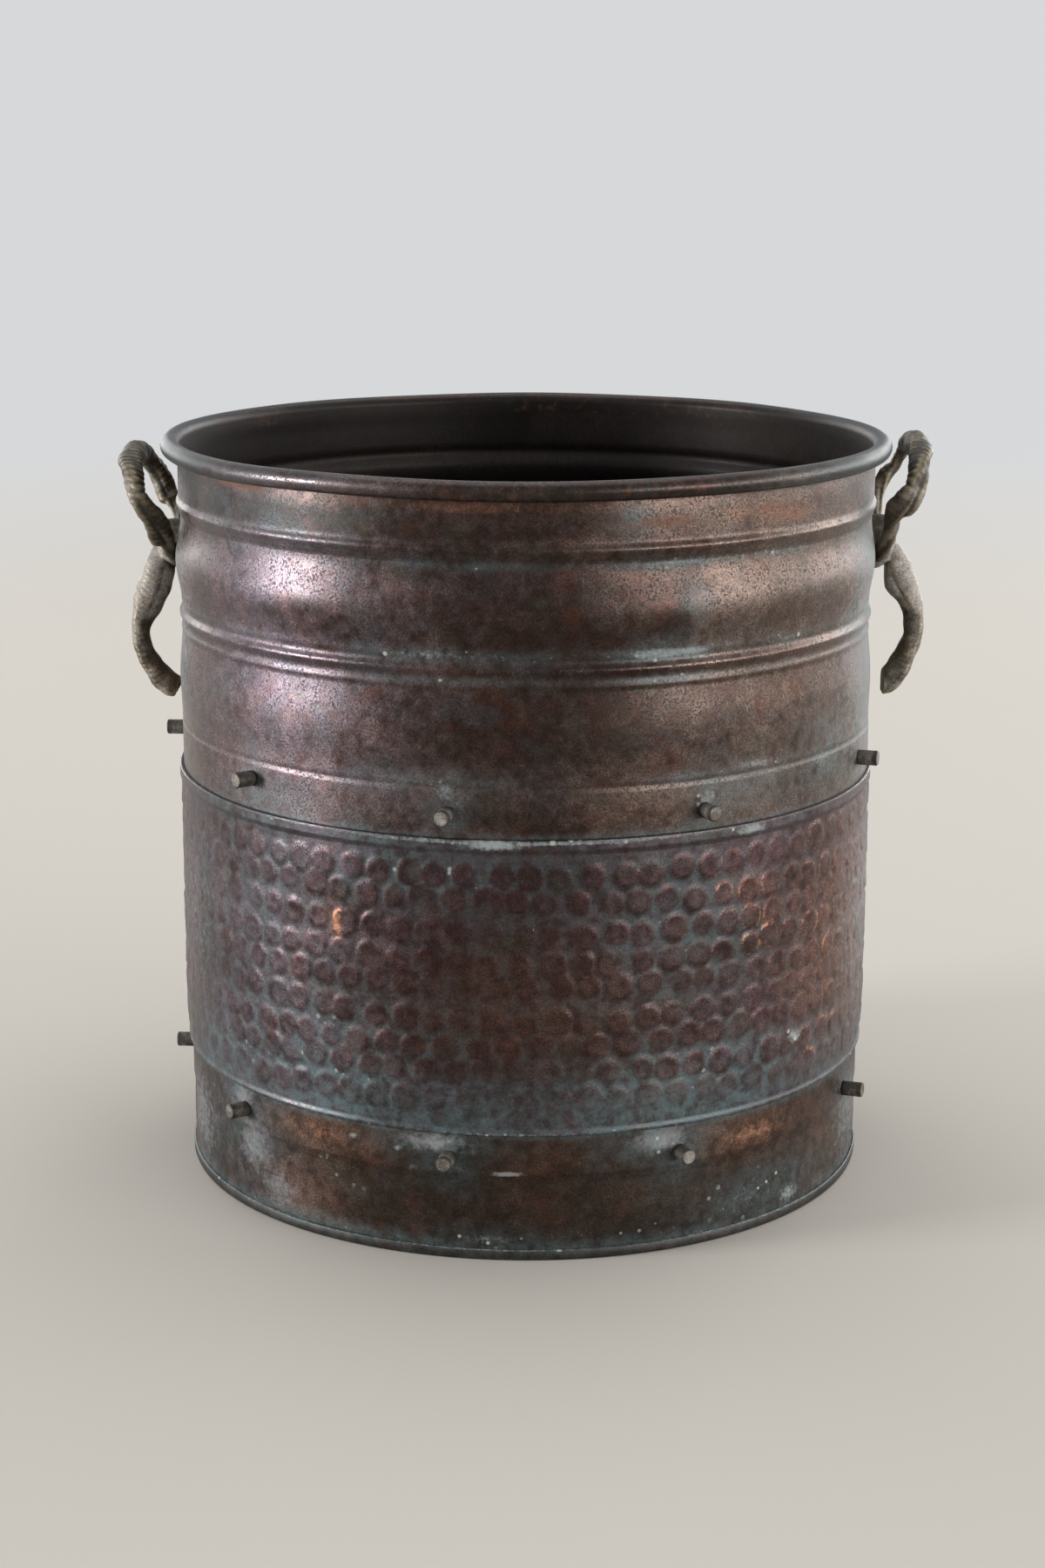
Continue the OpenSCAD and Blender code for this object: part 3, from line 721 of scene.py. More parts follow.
def beaten(azimuth, z, band):
    """Height of the bosses at each point, 0 to 1, and how near each point is to a boss's rim."""
    rng = np.random.default_rng(5)
    flat_z = z[:, 0]
    height = np.zeros(z.shape)
    rim = np.zeros(z.shape)
    first = BAND_TOP - HEM - 8.2
    last = BAND_FLOOR + 12.5
    columns = azimuth.shape[1]
    for row in range(band.rows):
        start = rng.uniform(0, 360)
        slope = rng.uniform(0, TAU)
        for i in range(band.around):
            size = band.boss_radius * rng.uniform(0.86, 1.08)
            middle = start + (i + rng.uniform(-0.12, 0.12)) * 360 / band.around
            level = first + (last - first) * row / (band.rows - 1) + rng.uniform(-0.8, 0.8)
            level += 1.6 * math.sin(math.radians(middle) * 2 + slope)
            tall = rng.uniform(0.65, 1.0)
            tilt_x, tilt_z = rng.normal(0, 0.05, 2)
            squareness, turn = rng.uniform(0, 0.05), rng.uniform(0, TAU)
            soft = 1 - 0.55 * math.exp(-(around_wall(middle, -70) / 16) ** 2)
            rows = np.where(np.abs(flat_z - level) < size + 1)[0]
            if not len(rows):
                continue
            reach = int(math.degrees((size + 1) / BAND_R) / 360 * columns) + 2
            centre = int(round(middle / 360 * columns))
            cols = np.arange(centre - reach, centre + reach + 1) % columns
            across = np.radians(around_wall(azimuth[0, cols], middle))[None, :] * BAND_R
            up = (flat_z[rows] - level)[:, None]
            far = np.sqrt(across ** 2 + up ** 2) / size
            far = far * (1 + squareness * np.cos(4 * np.arctan2(up, across) + turn))
            rise = (1 - smooth_step(0.80, 1.0, far)) * tall * soft
            rise = rise * (1 + tilt_x * across + tilt_z * up - 0.3 * np.clip(1 - far ** 2, 0, 1))
            area = np.ix_(rows, cols)
            rim_here = np.exp(-((far - 0.86) / 0.11) ** 2) * tall * soft
            rim[area] = np.maximum(rim[area], rim_here)
            height[area] = np.maximum(height[area], rise)
    return height, rim


def band_patina(mesh, azimuth, z, height, rim, outside):
    """Paints the band: haze between the bosses and along both edges, bare copper on high spots and round each
    boss, which is partly a painted highlight, and painted light: shade inside, a dark reflection on the front,
    and a violet tint and pale patches on the sides.
    """
    def spots(*rows):
        return patches(azimuth, z, rows, BAND_R)

    angle = np.radians(azimuth)
    between = np.clip(1 - height * 1.5, 0, 1)
    ragged = np.clip(0.6 + 0.6 * wander(azimuth, 2 * z, 57, 18), 0.15, 1.2)
    leftward = 0.8 + 0.2 * np.cos(np.radians(azimuth + 20))
    low_zone = smooth_step(BAND_FLOOR + 34, BAND_FLOOR + 2, z) * leftward
    strip = line_at(z, BAND_TOP - 2.4, 3.0)
    broad = spots(
        (-14, 150, 50, 12, 0.9), (26, 128, 50, 36, 0.7), (-38, 76, 60, 26, 1.0), (30, 72, 60, 20, 0.8),
        (-50, 125, 40, 40, 0.6), (100, 110, 80, 30, 0.8), (190, 120, 120, 40, 0.8), (-110, 100, 60, 40, 0.8))
    bloom = between * (0.10 + 0.5 * broad) + ragged * (0.12 * broad + 0.3 * strip)
    bloom = bloom + (0.35 + 0.65 * ragged) * 0.72 * low_zone
    crust = spots(
        (-4.6, 163.5, 14, 2.6, 0.75), (37, 162.6, 9, 2.6, 0.7), (48, 75, 6, 4, 0.6), (14, 163, 12, 2.2, 0.4),
        (170, 163, 20, 3, 0.6), (-120, 163, 20, 3, 0.5))
    top_edge = line_at(z, BAND_TOP - 0.9, 0.9) * (0.45 + 0.25 * np.cos(angle * 3))
    low_edge = line_at(z, BAND_FLOOR + 0.8, 1.0) * (0.26 + 0.2 * np.cos(angle * 4))
    crust = np.maximum(crust, np.maximum(top_edge, low_edge))
    warm = spots(
        (55, 110, 26, 50, 0.36), (40, 125, 22, 30, 0.3), (-30, 129, 2.6, 9, 1.1), (-31, 158, 4, 2.4, 1.1),
        (33, 141, 9, 6, 0.5), (41, 126, 10, 8, 0.5), (57, 93, 8, 16, 0.5), (53, 68, 6, 8, 0.5),
        (140, 90, 40, 30, 0.4), (-150, 130, 30, 20, 0.4))
    # the bright copper ring round each boss is wear on its raised edge and partly a painted highlight
    bare = 0.34 * rim + 0.72 * warm * (0.5 + 0.5 * np.clip(height, 0, 1))
    ruddy = spots(
        (62, 108, 44, 52, 0.8), (38, 140, 20, 14, 0.35), (-31, 128, 4, 9, 0.5), (20, 66, 30, 14, 0.35),
        (5, 100, 60, 30, 0.25), (140, 90, 60, 40, 0.6), (-150, 120, 50, 30, 0.5), (-95, 80, 40, 30, 0.4))
    # the two wide pale patches on the sides are scale and partly painted sheen; the one under the hem is scale
    lime = spots((-70, 115, 40, 60, 0.38), (76, 115, 50, 70, 0.5), (-5, 163, 16, 2, 0.5))
    paint_sheet(
        mesh, z.shape,
        bloom=np.where(outside, np.clip(bloom, 0, 0.85), 0.15),
        verdigris=np.where(outside, np.maximum(crust, 0.28 * between * broad), 0),
        bare=np.where(outside, bare, 0),
        ruddy=np.where(outside, ruddy, 0),
        lime=np.where(outside, lime, 0),
        # painted shade on the band's inner face
        soot=np.where(outside, 0, 0.8),
        # violet tint on the left is painted cool light from the left lamp; the patch at the back is film
        mauve=spots((-45, 120, 60, 60, 0.7), (150, 110, 90, 60, 0.5)),
        # painted dark reflection: the film is made thicker across the front of the band
        worn=0.3 - 0.8 * spots((0, 105, 75, 45, 1.0)))


class BUCKET_OT_add_hammered_band(bpy.types.Operator):
    """Beats rows of bosses into the middle band and folds its edges"""
    bl_idname = "bucket.add_hammered_band"
    bl_label = "Add hammered band"

    def execute(self, context):
        band = context.scene.bucket_band
        wall = context.scene.bucket_wall
        radius, height, face_from, face_to = band_profile()
        azimuth = np.arange(BAND_COLUMNS)[None, :] * 360 / BAND_COLUMNS
        z = height[:, None] + 0 * azimuth
        boss, rim = beaten(azimuth, z[face_from:face_to], band)
        relief = np.zeros(z.shape)
        relief[face_from:face_to] = boss
        rims = np.zeros(z.shape)
        rims[face_from:face_to] = rim
        drift = 0.5 * wall.wander * wander(azimuth, z, 31)
        drift *= smooth_step(BAND_FLOOR, BAND_FLOOR + 12, z) * (1 - smooth_step(BAND_TOP - 12, BAND_TOP, z))
        points = turned(radius[:, None] + drift + band.boss_height * relief, azimuth, z)
        mesh = grid_mesh("hammered_band_beaten", points)
        outside = np.broadcast_to((np.arange(len(radius)) < face_to + 4)[:, None], z.shape)
        band_patina(mesh, azimuth, z, relief, rims, outside)
        piece = put_in_scene("hammered_band_beaten", mesh)
        copper = aged_copper("Aged copper, hammered", srgb("#2b1a19"), srgb("#584249"), 0.34)
        finish_piece(piece, copper, "band_copper", "hammered_band")
        return {"FINISHED"}


# ---------------------------------------------------------------- lower shell and base

LOWER_COLUMNS = 320
CREASE_Z = BAND_FLOOR - 17.5
LOWER_DENTS = [(-38, 18, 16, 10, 0.7), (6, 24, 12, 7, 0.4), (60, 12, 14, 8, 0.6), (172, 20, 22, 12, 0.9),
               (-100, 26, 14, 9, 0.6), (110, 16, 12, 9, 0.5)]


def lower_wall(z):
    """Radius of the lower wall's outer face: stud belt, crease, and plain wall down to the foot."""
    plain = np.interp(z, [CREASE_Z - 1.2, CREASE_Z + 0.8], [FOOT_WALL_R, LOWER_R])
    return plain + raised(z, 18, 14, 0.2) - raised(z, CREASE_Z + 0.6, 1.2, 0.3)


def closed_sheet(z_top, z_low, step, wall):
    """Closed outline of a plain sheet: down its outer face and up its inner face."""
    z_down = np.arange(z_top, z_low, -step)
    r_down = eased(wall(z_down), step, 0.8)
    radius = np.concatenate([r_down, r_down[::-2] - SHEET])
    height = np.concatenate([z_down, z_down[::-2]])
    return radius, height, len(z_down)


def lower_patina(mesh, azimuth, z, inside):
    """Paints the lower wall: haze around the studs and above the foot, bare scrapes, water scale, and painted
    light: shade inside, a dark reflection on the front, a violet tint on the left and pale sides.
    """
    def spots(*rows):
        return patches(azimuth, z, rows, LOWER_R)

    outside = 1 - inside
    foot = 0.5 * line_at(z, 5, 3.5)
    lap = 0.5 * line_at(z, BAND_FLOOR - 0.5, 1.6)
    halos = [(a, h, 12, 10, 0.6) for a, h in LOWER_PLACES]
    bloom = spots(
        *halos, (46, 14, 40, 12, 0.5), (34, 9, 20, 6, 0.4), (-6, 8, 26, 5, 0.4), (-14, 45, 26, 7, 0.45),
        (22, 44, 22, 8, 0.55), (-53, 40, 26, 30, 0.4), (150, 10, 40, 9, 0.5), (-120, 12, 30, 10, 0.5))
    crust = spots(
        (49, 9, 9, 5, 0.55), (40, 15, 34, 12, 0.34), (10, 10, 50, 6, 0.27), (-6, 8, 16, 3, 0.42),
        (-30, 30, 40, 16, 0.2), (-14, 45, 8, 4, 0.45), (22, 44, 7, 5, 0.5), (150, 10, 30, 5, 0.5),
        (-120, 12, 24, 6, 0.5))
    lime = spots(
        (-50, 28, 13, 14, 0.55), (-44, 14, 12, 10, 0.5), (-53, 45, 10, 9, 0.55), (39.5, 40.5, 13, 4, 0.3),
        # the two wide pale patches on the left and right sides are scale and partly painted sheen
        (-72, 25, 30, 30, 0.5), (74, 25, 34, 30, 0.5), (-14, 46, 16, 5, 0.65), (22, 46, 12, 7, 0.7),
        (-28, 44, 1.4, 1.2, 1.0), (-20, 42, 1.2, 1.2, 1.0), (-17.5, 35, 1.5, 1.5, 0.9),
        (-2.6, 34.7, 6, 0.8, 1.3), (178, 25, 30, 15, 0.5))
    ruddy = spots(
        (-34, 42, 30, 8, 0.5), (39, 40, 30, 8, 0.6), (0, 40, 16, 9, 0.2), (-40, 20, 20, 10, 0.3),
        (60, 30, 20, 20, 0.35), (160, 35, 60, 14, 0.5), (-110, 30, 50, 16, 0.4))
    bare = spots(
        (-34, 43, 17, 5.5, 0.38), (39.5, 40.5, 19, 5.0, 0.5), (-10, 37, 6, 4, 0.35),
        (120, 40, 14, 4, 0.55), (-130, 38, 14, 5, 0.55))
    paint_sheet(
        mesh, z.shape,
        bloom=outside * np.maximum(np.maximum(bloom, foot), lap),
        verdigris=outside * np.maximum(crust, 0.35 * foot),
        lime=outside * lime,
        ruddy=outside * ruddy,
        bare=outside * bare,
        # painted shade on the inner face of the lower wall
        soot=0.9 * inside,
        # violet tint on the left is painted cool light from the left lamp; the patch at the back is film
        mauve=spots((-58, 30, 40, 40, 0.8), (150, 30, 60, 40, 0.5)),
        # painted dark reflection: the film is made thicker across the front of the lower wall
        worn=0.15 - 0.3 * spots((4, 25, 80, 40, 1.0)))


class BUCKET_OT_add_lower_shell(bpy.types.Operator):
    """Rolls the lower wall that carries the lower studs"""
    bl_idname = "bucket.add_lower_shell"
    bl_label = "Add lower shell"

    def execute(self, context):
        wall = context.scene.bucket_wall
        radius, height, outer_rows = closed_sheet(LOWER_HIGH[2], LOWER_LOW[2], 0.9, lower_wall)
        azimuth = np.arange(LOWER_COLUMNS)[None, :] * 360 / LOWER_COLUMNS
        z = height[:, None] + 0 * azimuth
        drift = 0.8 * wall.wander * wander(azimuth, z, 47)
        drift -= wall.dent_depth * dented(azimuth, z, LOWER_DENTS, LOWER_R)
        drift *= smooth_step(FOOT_TOP, FOOT_TOP + 6, z) * (1 - smooth_step(BAND_FLOOR - 8, BAND_FLOOR - 1, z))
        mesh = grid_mesh("lower_shell_worked", turned(radius[:, None] + drift, azimuth, z))
        inside = np.broadcast_to((np.arange(len(radius)) >= outer_rows)[:, None], z.shape)
        lower_patina(mesh, azimuth, z, inside)
        piece = put_in_scene("lower_shell_worked", mesh)
        copper = aged_copper("Aged copper, rolled", srgb("#271d16"), srgb("#4a3b30"), 0.42)
        finish_piece(piece, copper, "lower_copper", "lower_shell")
        return {"FINISHED"}


class BUCKET_OT_add_base_plate(bpy.types.Operator):
    """Presses the bottom sheet and crimps its edge around the lower wall"""
    bl_idname = "bucket.add_base_plate"
    bl_label = "Add base plate"

    def execute(self, context):
        core_r = FOOT_WALL_R - SHEET - GAP
        in_r = core_r - SHEET
        lip_r = FOOT_R - SHEET
        disc = np.concatenate([[0.4], np.linspace(6, core_r - 1.2, 22)])
        floor_top, floor_low = 4.0, 4.0 - SHEET
        crimp = np.array([
            (core_r - 0.4, floor_top), (core_r, floor_top - 0.4), (core_r, SHEET + 0.2),
            (core_r + 0.2, SHEET),
            (lip_r - 0.2, SHEET), (lip_r, SHEET + 0.2), (lip_r, FOOT_TOP - 1.5), (lip_r, FOOT_TOP - 0.2),
            (FOOT_R - 0.6, FOOT_TOP), (FOOT_R - 0.15, FOOT_TOP - 0.15), (FOOT_R, FOOT_TOP - 0.5),
            (FOOT_R, 2.2), (FOOT_R, 0.9), (FOOT_R - 0.25, 0.25), (FOOT_R - 0.9, 0.0), (in_r + 0.6, 0.0),
            (in_r, 0.5), (in_r, floor_low - 0.4)])
        radius = np.concatenate([disc, crimp[:, 0], disc[::-1]])
        height = np.concatenate([np.full(len(disc), floor_top), crimp[:, 1], np.full(len(disc), floor_low)])
        azimuth = np.arange(LOWER_COLUMNS)[None, :] * 360 / LOWER_COLUMNS
        z = height[:, None] + 0 * azimuth
        r = radius[:, None] + 0 * azimuth
        flange = smooth_step(FOOT_R - SHEET - 0.1, FOOT_R - 0.4, r) * smooth_step(1.0, 3.0, z)
        z = z + flange * (0.35 * wander(azimuth, 0 * z, 71, 12) - 0.3)
        centre = 1 - smooth_step(0, core_r - 8, r)
        z = z + 0.5 * centre * wander(azimuth, r, 73, 4) * smooth_step(0, 40, r)
        mesh = grid_mesh("base_plate_crimped", turned(r, azimuth, z))
        outer = r > core_r + 1
        speck = patches(azimuth, z, [(-6, 3, 40, 4, 0.7), (40, 3, 50, 4, 0.72), (-50, 3, 40, 4, 0.5),
                                     (160, 3, 60, 4, 0.6)], FOOT_R)
        inner_stain = 0.3 + 0.2 * wander(azimuth, r, 77, 5)
        flange_top = np.where(outer, smooth_step(FOOT_TOP - 1.4, FOOT_TOP - 0.2, z), 0)
        paint_sheet(
            mesh, z.shape,
            bloom=np.where(outer, 0.2 + 0.4 * flange_top, 0.2),
            verdigris=np.where(outer, flange_top * (0.25 + 0.5 * speck), 0.5 * inner_stain),
            lime=np.where(outer, 0.22 * flange_top, 0.15),
            ruddy=np.where(outer, 0.1, 0.2),
            rust=np.where(outer, 0.1, 0.25),
            # painted shade: strong on the floor inside the bucket, slight on the crimped flange
            soot=np.where(outer, 0.2, 0.7))
        piece = put_in_scene("base_plate_crimped", mesh)
        copper = aged_copper("Aged copper, crimped", srgb("#28231f"), srgb("#3e362e"), 0.48)
        finish_piece(piece, copper, "lower_copper", "base_plate")
        return {"FINISHED"}


# ---------------------------------------------------------------- handles

class Handle:
    """Shape of one handle; each was filed and bent by hand, so the two differ. Sizes are in
    millimetres and angles in degrees from the crown of the ring. The tail's rows are reach from the
    bucket's axis, height above the belly's middle, depth and width of the bar."""

    def __init__(self, side):
        left = self.left = side < 0
        low, high = box_mm("handle_left" if left else "handle_right")
        self.crown_size = 4.6
        self.crown_z = high[2] - self.crown_size - 0.6
        self.foot_z = BELLY_Z - 1
        self.reach = (abs(low[0]) if left else high[0]) - self.crown_size - (0.35 if left else 1.2)
        self.near_bow = [(0, 0), (0.25, 1.2), (0.36, 2.8), (0.5, 5.6), (0.57, 7.8), (0.64, 9.3), (0.7, 10.7),
                         (0.81, 12.2), (0.88, 13.2), (1, 16.2)] if left else [
            (0, 0.4), (0.3, 2.4), (0.43, 3.2), (0.5, 4.5), (0.56, 6.8), (0.62, 8.3), (0.68, 9.4),
            (0.81, 12.0), (0.88, 13.0), (1, 15.3)]
        self.far_bow = [(0, 0), (0.3, 0.6), (0.35, 2.2), (0.48, 5.4), (0.55, 6.5), (0.7, 9.2), (0.88, 13.0),
                        (1, 16.2)] if left else [
            (0, 0.5), (0.24, 1.8), (0.37, 2.9), (0.48, 4.0), (0.59, 5.8), (0.72, 10.0), (0.88, 12.6),
            (1, 15.3)]
        self.tips = (126, 98) if left else (92, 90)
        self.blades = (1.0, 0.75) if left else (1.0, 0.15)
        self.stems = (2.6, 1.7) if left else (2.5, 2.2)
        self.far_arm = 0.9 if left else 0.58
        self.under = ([-56, -34, -16, 4, 24], [0, 0.9, 1.1, 0.3, 0]) if left else (
            [-26, -16, -4, 12, 32, 62], [0, 1.6, 2.0, 1.4, 0.8, 0])
        self.pad_top = 2.8 if left else 5.6
        # painted shadow spots: under the near blade and next to the pad
        self.dark = [(146, -21, 261, 9), (150, -23, 270, 6)] if left else [
            (149, -22, 268, 8), (143, -12, 256, 8)]
        # pale spots: dust on the tail's cheeks, and a pale patch on the near blade that is dust and partly a
        # painted highlight
        self.pale = [(151, -6, 236, 13), (157, -24, 271, 7)] if left else [
            (152, -6, 238, 13), (157, -22, 272, 6)]
        self.veins = 0.42 if left else 0.3
        self.ribs = 0.38 if left else 0.2
        self.tail_cut = NECK_R + (1.7 if left else 6.0), BELLY_Z - (59.8 if left else 57.9)
        self.tail = [
            (145.2, 3.5, 4.0, 4.6), (147.4, -5.0, 6.1, 6.2), (149.9, -14.0, 7.2, 6.6),
            (152.5, -20.3, 6.8, 6.2),
            (154.5, -24.7, 5.6, 5.2), (156.5, -29.7, 3.9, 4.1), (156.6, -35.2, 3.6, 3.7),
            (155.6, -40.2, 3.7, 3.8), (153.9, -44.6, 3.95, 4.0), (151.5, -48.5, 4.3, 4.3),
            (148.3, -52.5, 4.9, 4.6), (144.8, -55.4, 5.1, 4.7), (141.3, -57.6, 4.7, 4.4)] if left else [
            (145.5, 3.5, 4.0, 4.6), (148.8, -4.7, 6.7, 6.2), (151.0, -11.2, 7.3, 6.6),
            (155.0, -18.3, 5.4, 6.0),
            (157.3, -22.8, 4.4, 4.8), (157.9, -28.5, 4.05, 4.1), (157.6, -33.6, 3.9, 3.8),
            (156.3, -38.3, 4.1, 3.9), (154.4, -42.9, 4.5, 4.1), (152.1, -47.3, 4.9, 4.4),
            (149.2, -51.3, 5.2, 4.6), (145.6, -54.6, 5.2, 4.6), (142.2, -57.0, 4.8, 4.4)]


def unit_rows(vectors):
    """Each row of vectors, made one long."""
    return vectors / np.linalg.norm(vectors, axis=-1, keepdims=True)


def tube(name, path, out, half, sides, relief=None, close=False):
    """A bar along path. out points to the bar's front, half is its two half sizes at each point, and
    relief(row, angle) is how far its surface stands out there."""
    if close:
        along = np.roll(path, -1, axis=0) - np.roll(path, 1, axis=0)
    else:
        along = np.gradient(path, axis=0)
    along = unit_rows(along)
    out = np.broadcast_to(out, path.shape)
    u = unit_rows(out - np.einsum("ij,ij->i", out, along)[:, None] * along)
    v = np.cross(along, u)
    angle = np.linspace(0, TAU, sides, endpoint=False)
    rows = np.arange(len(path))
    bulge = relief(rows[:, None], angle[None, :]) if relief else 0
    a = half[:, 0][:, None] * np.cos(angle) + bulge * np.cos(angle)
    b = half[:, 1][:, None] * np.sin(angle) + bulge * np.sin(angle)
    points = path[:, None, :] + a[..., None] * u[:, None, :] + b[..., None] * v[:, None, :]
    return grid_mesh(name, points, close_rows=close, cap_ends=not close)


def bump_at(x, middle, half):
    """1 at the middle, easing to 0 a half width away."""
    t = np.clip(np.abs(x - middle) / half, 0, 1)
    return np.cos(t * math.pi / 2) ** 2


def ring_mesh(handle):
    """The ring: a veined crown, a blade that ends in a tip on each arm, and thin feet to the pad."""
    steps = 500
    turn = np.arange(steps) * 360 / steps
    near = (turn < 180) == handle.left
    from_crown = np.minimum(turn, 360 - turn)
    past_tip = from_crown - np.where(near, *handle.tips)
    rise = (1 + np.cos(np.radians(turn))) / 2
    reach = np.where(near, np.interp(rise, *zip(*handle.near_bow)), np.interp(rise, *zip(*handle.far_bow)))
    reach = reach * (handle.reach - NECK_R - 2.9) / handle.near_bow[-1][1]
    kernel = np.hanning(21) / np.hanning(21).sum()
    x = NECK_R + 2.9 + np.convolve(np.tile(reach, 3), kernel, "same")[steps:2 * steps]
    y = 28.8 * np.sin(np.radians(turn)) * (1 + 0.385 * np.cos(np.radians(turn)))
    z = handle.foot_z + (handle.crown_z - handle.foot_z) * rise
    path = np.stack([x, y, z], axis=1)
    length = np.concatenate([[0], np.cumsum(np.linalg.norm(np.diff(path, axis=0), axis=1))])
    mirrored = np.where(turn > 180, length[-1] - length, length)
    size = np.minimum(np.interp(from_crown, [0, 20, 40, 62], [handle.crown_size, 4.6, 4.0, 3.4]),
                      np.where(near, np.interp(past_tip, [-10, 0, 8], [9, 3.2, handle.stems[0]]),
                               np.interp(past_tip, [-10, 0, 8], [9, 2.8, handle.stems[1]])))
    size = size * (1 + np.where(near, 0, handle.far_arm - 1) * smooth_step(20, 45, from_crown))
    size = size + np.interp(from_crown, [150, 180], [0, 0.6])
    half = np.stack([size, size], axis=1)
    hand = np.where(turn > 180, -1, 1)
    blades = np.where(near, *handle.blades)

    def relief(row, angle):
        s = mirrored[row]
        a = from_crown[row]
        q = past_tip[row]
        h = hand[row]
        outward = np.clip(np.cos(angle + 0.25 * h), 0, 1)
        inward = np.clip(-np.cos(angle), 0, 1)
        near = np.clip(-h * np.sin(angle), 0, 1)
        twist = s / 2.7 + 0.55 * h * np.cos(angle - 0.4)
        veins = handle.veins * (np.abs(np.cos(twist * math.pi)) ** 0.6 - 0.6)
        veins = veins * (1 - 0.6 * smooth_step(-60, -45, q)) * (1 - smooth_step(-8, 0, q))
        lumps = 0.24 * np.sin(s / 1.7 + 2 * angle) * np.sin(s / 2.9 - angle + 1.3)
        lumps = lumps + 0.3 * np.sin(s / 4.3 + 3 * angle)
        spread = blades[row] * np.interp(q, [-56, -38, -16, -3, 1], [0, 0.9, 2.5, 2.6, 0])
        groove = 0.9 * np.exp(-((np.cos(angle + 0.25 * h) - 0.42) / 0.16) ** 2)
        blade = spread * (outward ** 3 - 0.3 * near ** 2 - 0.3 * groove)
        knots = 0.55 * np.abs(np.cos(s / 3.1 * math.pi)) * inward * bump_at(a, 62, 24)
        under = np.interp(q, *handle.under) * inward ** 1.5
        return veins + lumps + blade + knots + under

    return tube("ring", path, np.array([1, 0, -0.35]), half, 44, relief, close=True)


def tail_mesh(handle):
    """The tail: a ribbed leaf with flat cheeks under the pad, which narrows to a blunt curl."""
    rows = np.array(handle.tail)
    knots = np.arange(len(rows))
    fine = np.linspace(0, len(rows) - 1, 260)
    reach, height, deep, wide = (
        eased(np.interp(fine, knots, rows[:, i]), len(rows) / 260, 0.75) for i in range(4))
    path = np.stack([reach, 0 * reach, BELLY_Z + height], axis=1)
    length = np.concatenate([[0], np.cumsum(np.linalg.norm(np.diff(path, axis=0), axis=1))])
    total = length[-1]
    half = np.stack([deep, wide], axis=1)

    def relief(row, angle):
        s = length[row]
        front = np.clip(np.cos(angle) + 0.55, 0, 1)
        cheek = np.abs(np.sin(angle))
        ribs = handle.ribs * (np.abs(np.cos((s - 3.4 * cheek) / 2.3 * math.pi)) ** 0.7 - 0.5)
        ribs = ribs * front * smooth_step(6, 11, s) * (1 - smooth_step(total - 9, total - 5, s))
        flat = -0.9 * cheek ** 5 * bump_at(s, 17, 20)
        border = -0.8 * smooth_step(0.1, 0.24, -np.cos(angle)) * bump_at(s, 18, 17)
        midrib = 0.35 * np.exp(-((np.cos(angle) - 0.55) / 0.12) ** 2) * smooth_step(24, 32, s)
        beads = midrib * (0.5 + 0.8 * np.cos(s / 1.5 * math.pi) ** 2)
        facets = 0.2 * np.sin(s / 2.9 + 3 * angle) + 0.14 * np.sin(s / 1.3 - 2 * angle)
        return ribs + flat + border + beads + facets

    mesh = tube("tail", path, np.array([1.0, 0, 0]), half, 44, relief)
    points = coordinates(mesh) / MM
    points[:, 0] = np.maximum(points[:, 0], handle.tail_cut[0])
    points[:, 2] = np.maximum(points[:, 2], handle.tail_cut[1])
    mesh.vertices.foreach_set("co", (points * MM).astype(np.float32).ravel())
    return mesh


def pad_mesh(handle):
    """The pad: a rounded plate against the wall, domed over the screws."""
    outline = np.linspace(0, TAU, 64, endpoint=False)
    levels = [(-3, 0.98), (1.5, 1.0), (3.5, 0.95), (5.6, 0.84), (7.3, 0.66), (8.4, 0.42)]
    rows = []
    for out, grow in levels:
        y = 7 * grow * np.cos(outline)
        low = np.clip(-np.sin(outline), 0, 1) * 0.5 * max(out, 0)
        z = BELLY_Z + 4 + np.sign(np.sin(outline)) * 6 + low + np.where(
            np.sin(outline) > 0, handle.pad_top, 5) * grow * np.sin(outline)
        rows.append(np.stack([np.full(64, NECK_R + 1.4 + out), y, z], axis=1))
    return grid_mesh("pad", np.stack(rows), close_rows=False, cap_ends=True)


def fused(name, parts, voxel_mm, smoothing=2):
    """One mesh that wraps overlapping closed parts, as a casting does, with softened joins."""
    objects = [put_in_scene(f"{name}_{i}", mesh) for i, mesh in enumerate(parts)]
    body = objects[0]
    with bpy.context.temp_override(active_object=body, selected_editable_objects=objects, object=body):
        bpy.ops.object.join()
    remesh = body.modifiers.new("fuse", "REMESH")
    remesh.mode = "VOXEL"
    remesh.voxel_size = voxel_mm * MM
    soften = body.modifiers.new("soften", "SMOOTH")
    soften.factor = 0.5
    soften.iterations = smoothing
    evaluated = body.evaluated_get(bpy.context.evaluated_depsgraph_get())
    mesh = bpy.data.meshes.new_from_object(evaluated)
    mesh.name = name
    bpy.data.objects.remove(body)
    mesh.shade_smooth()
    return mesh


def coordinates(mesh):
    """Every vertex of a mesh, in metres."""
    flat = np.zeros(len(mesh.vertices) * 3, np.float32)
    mesh.vertices.foreach_get("co", flat)
    return flat.reshape(-1, 3).astype(float)


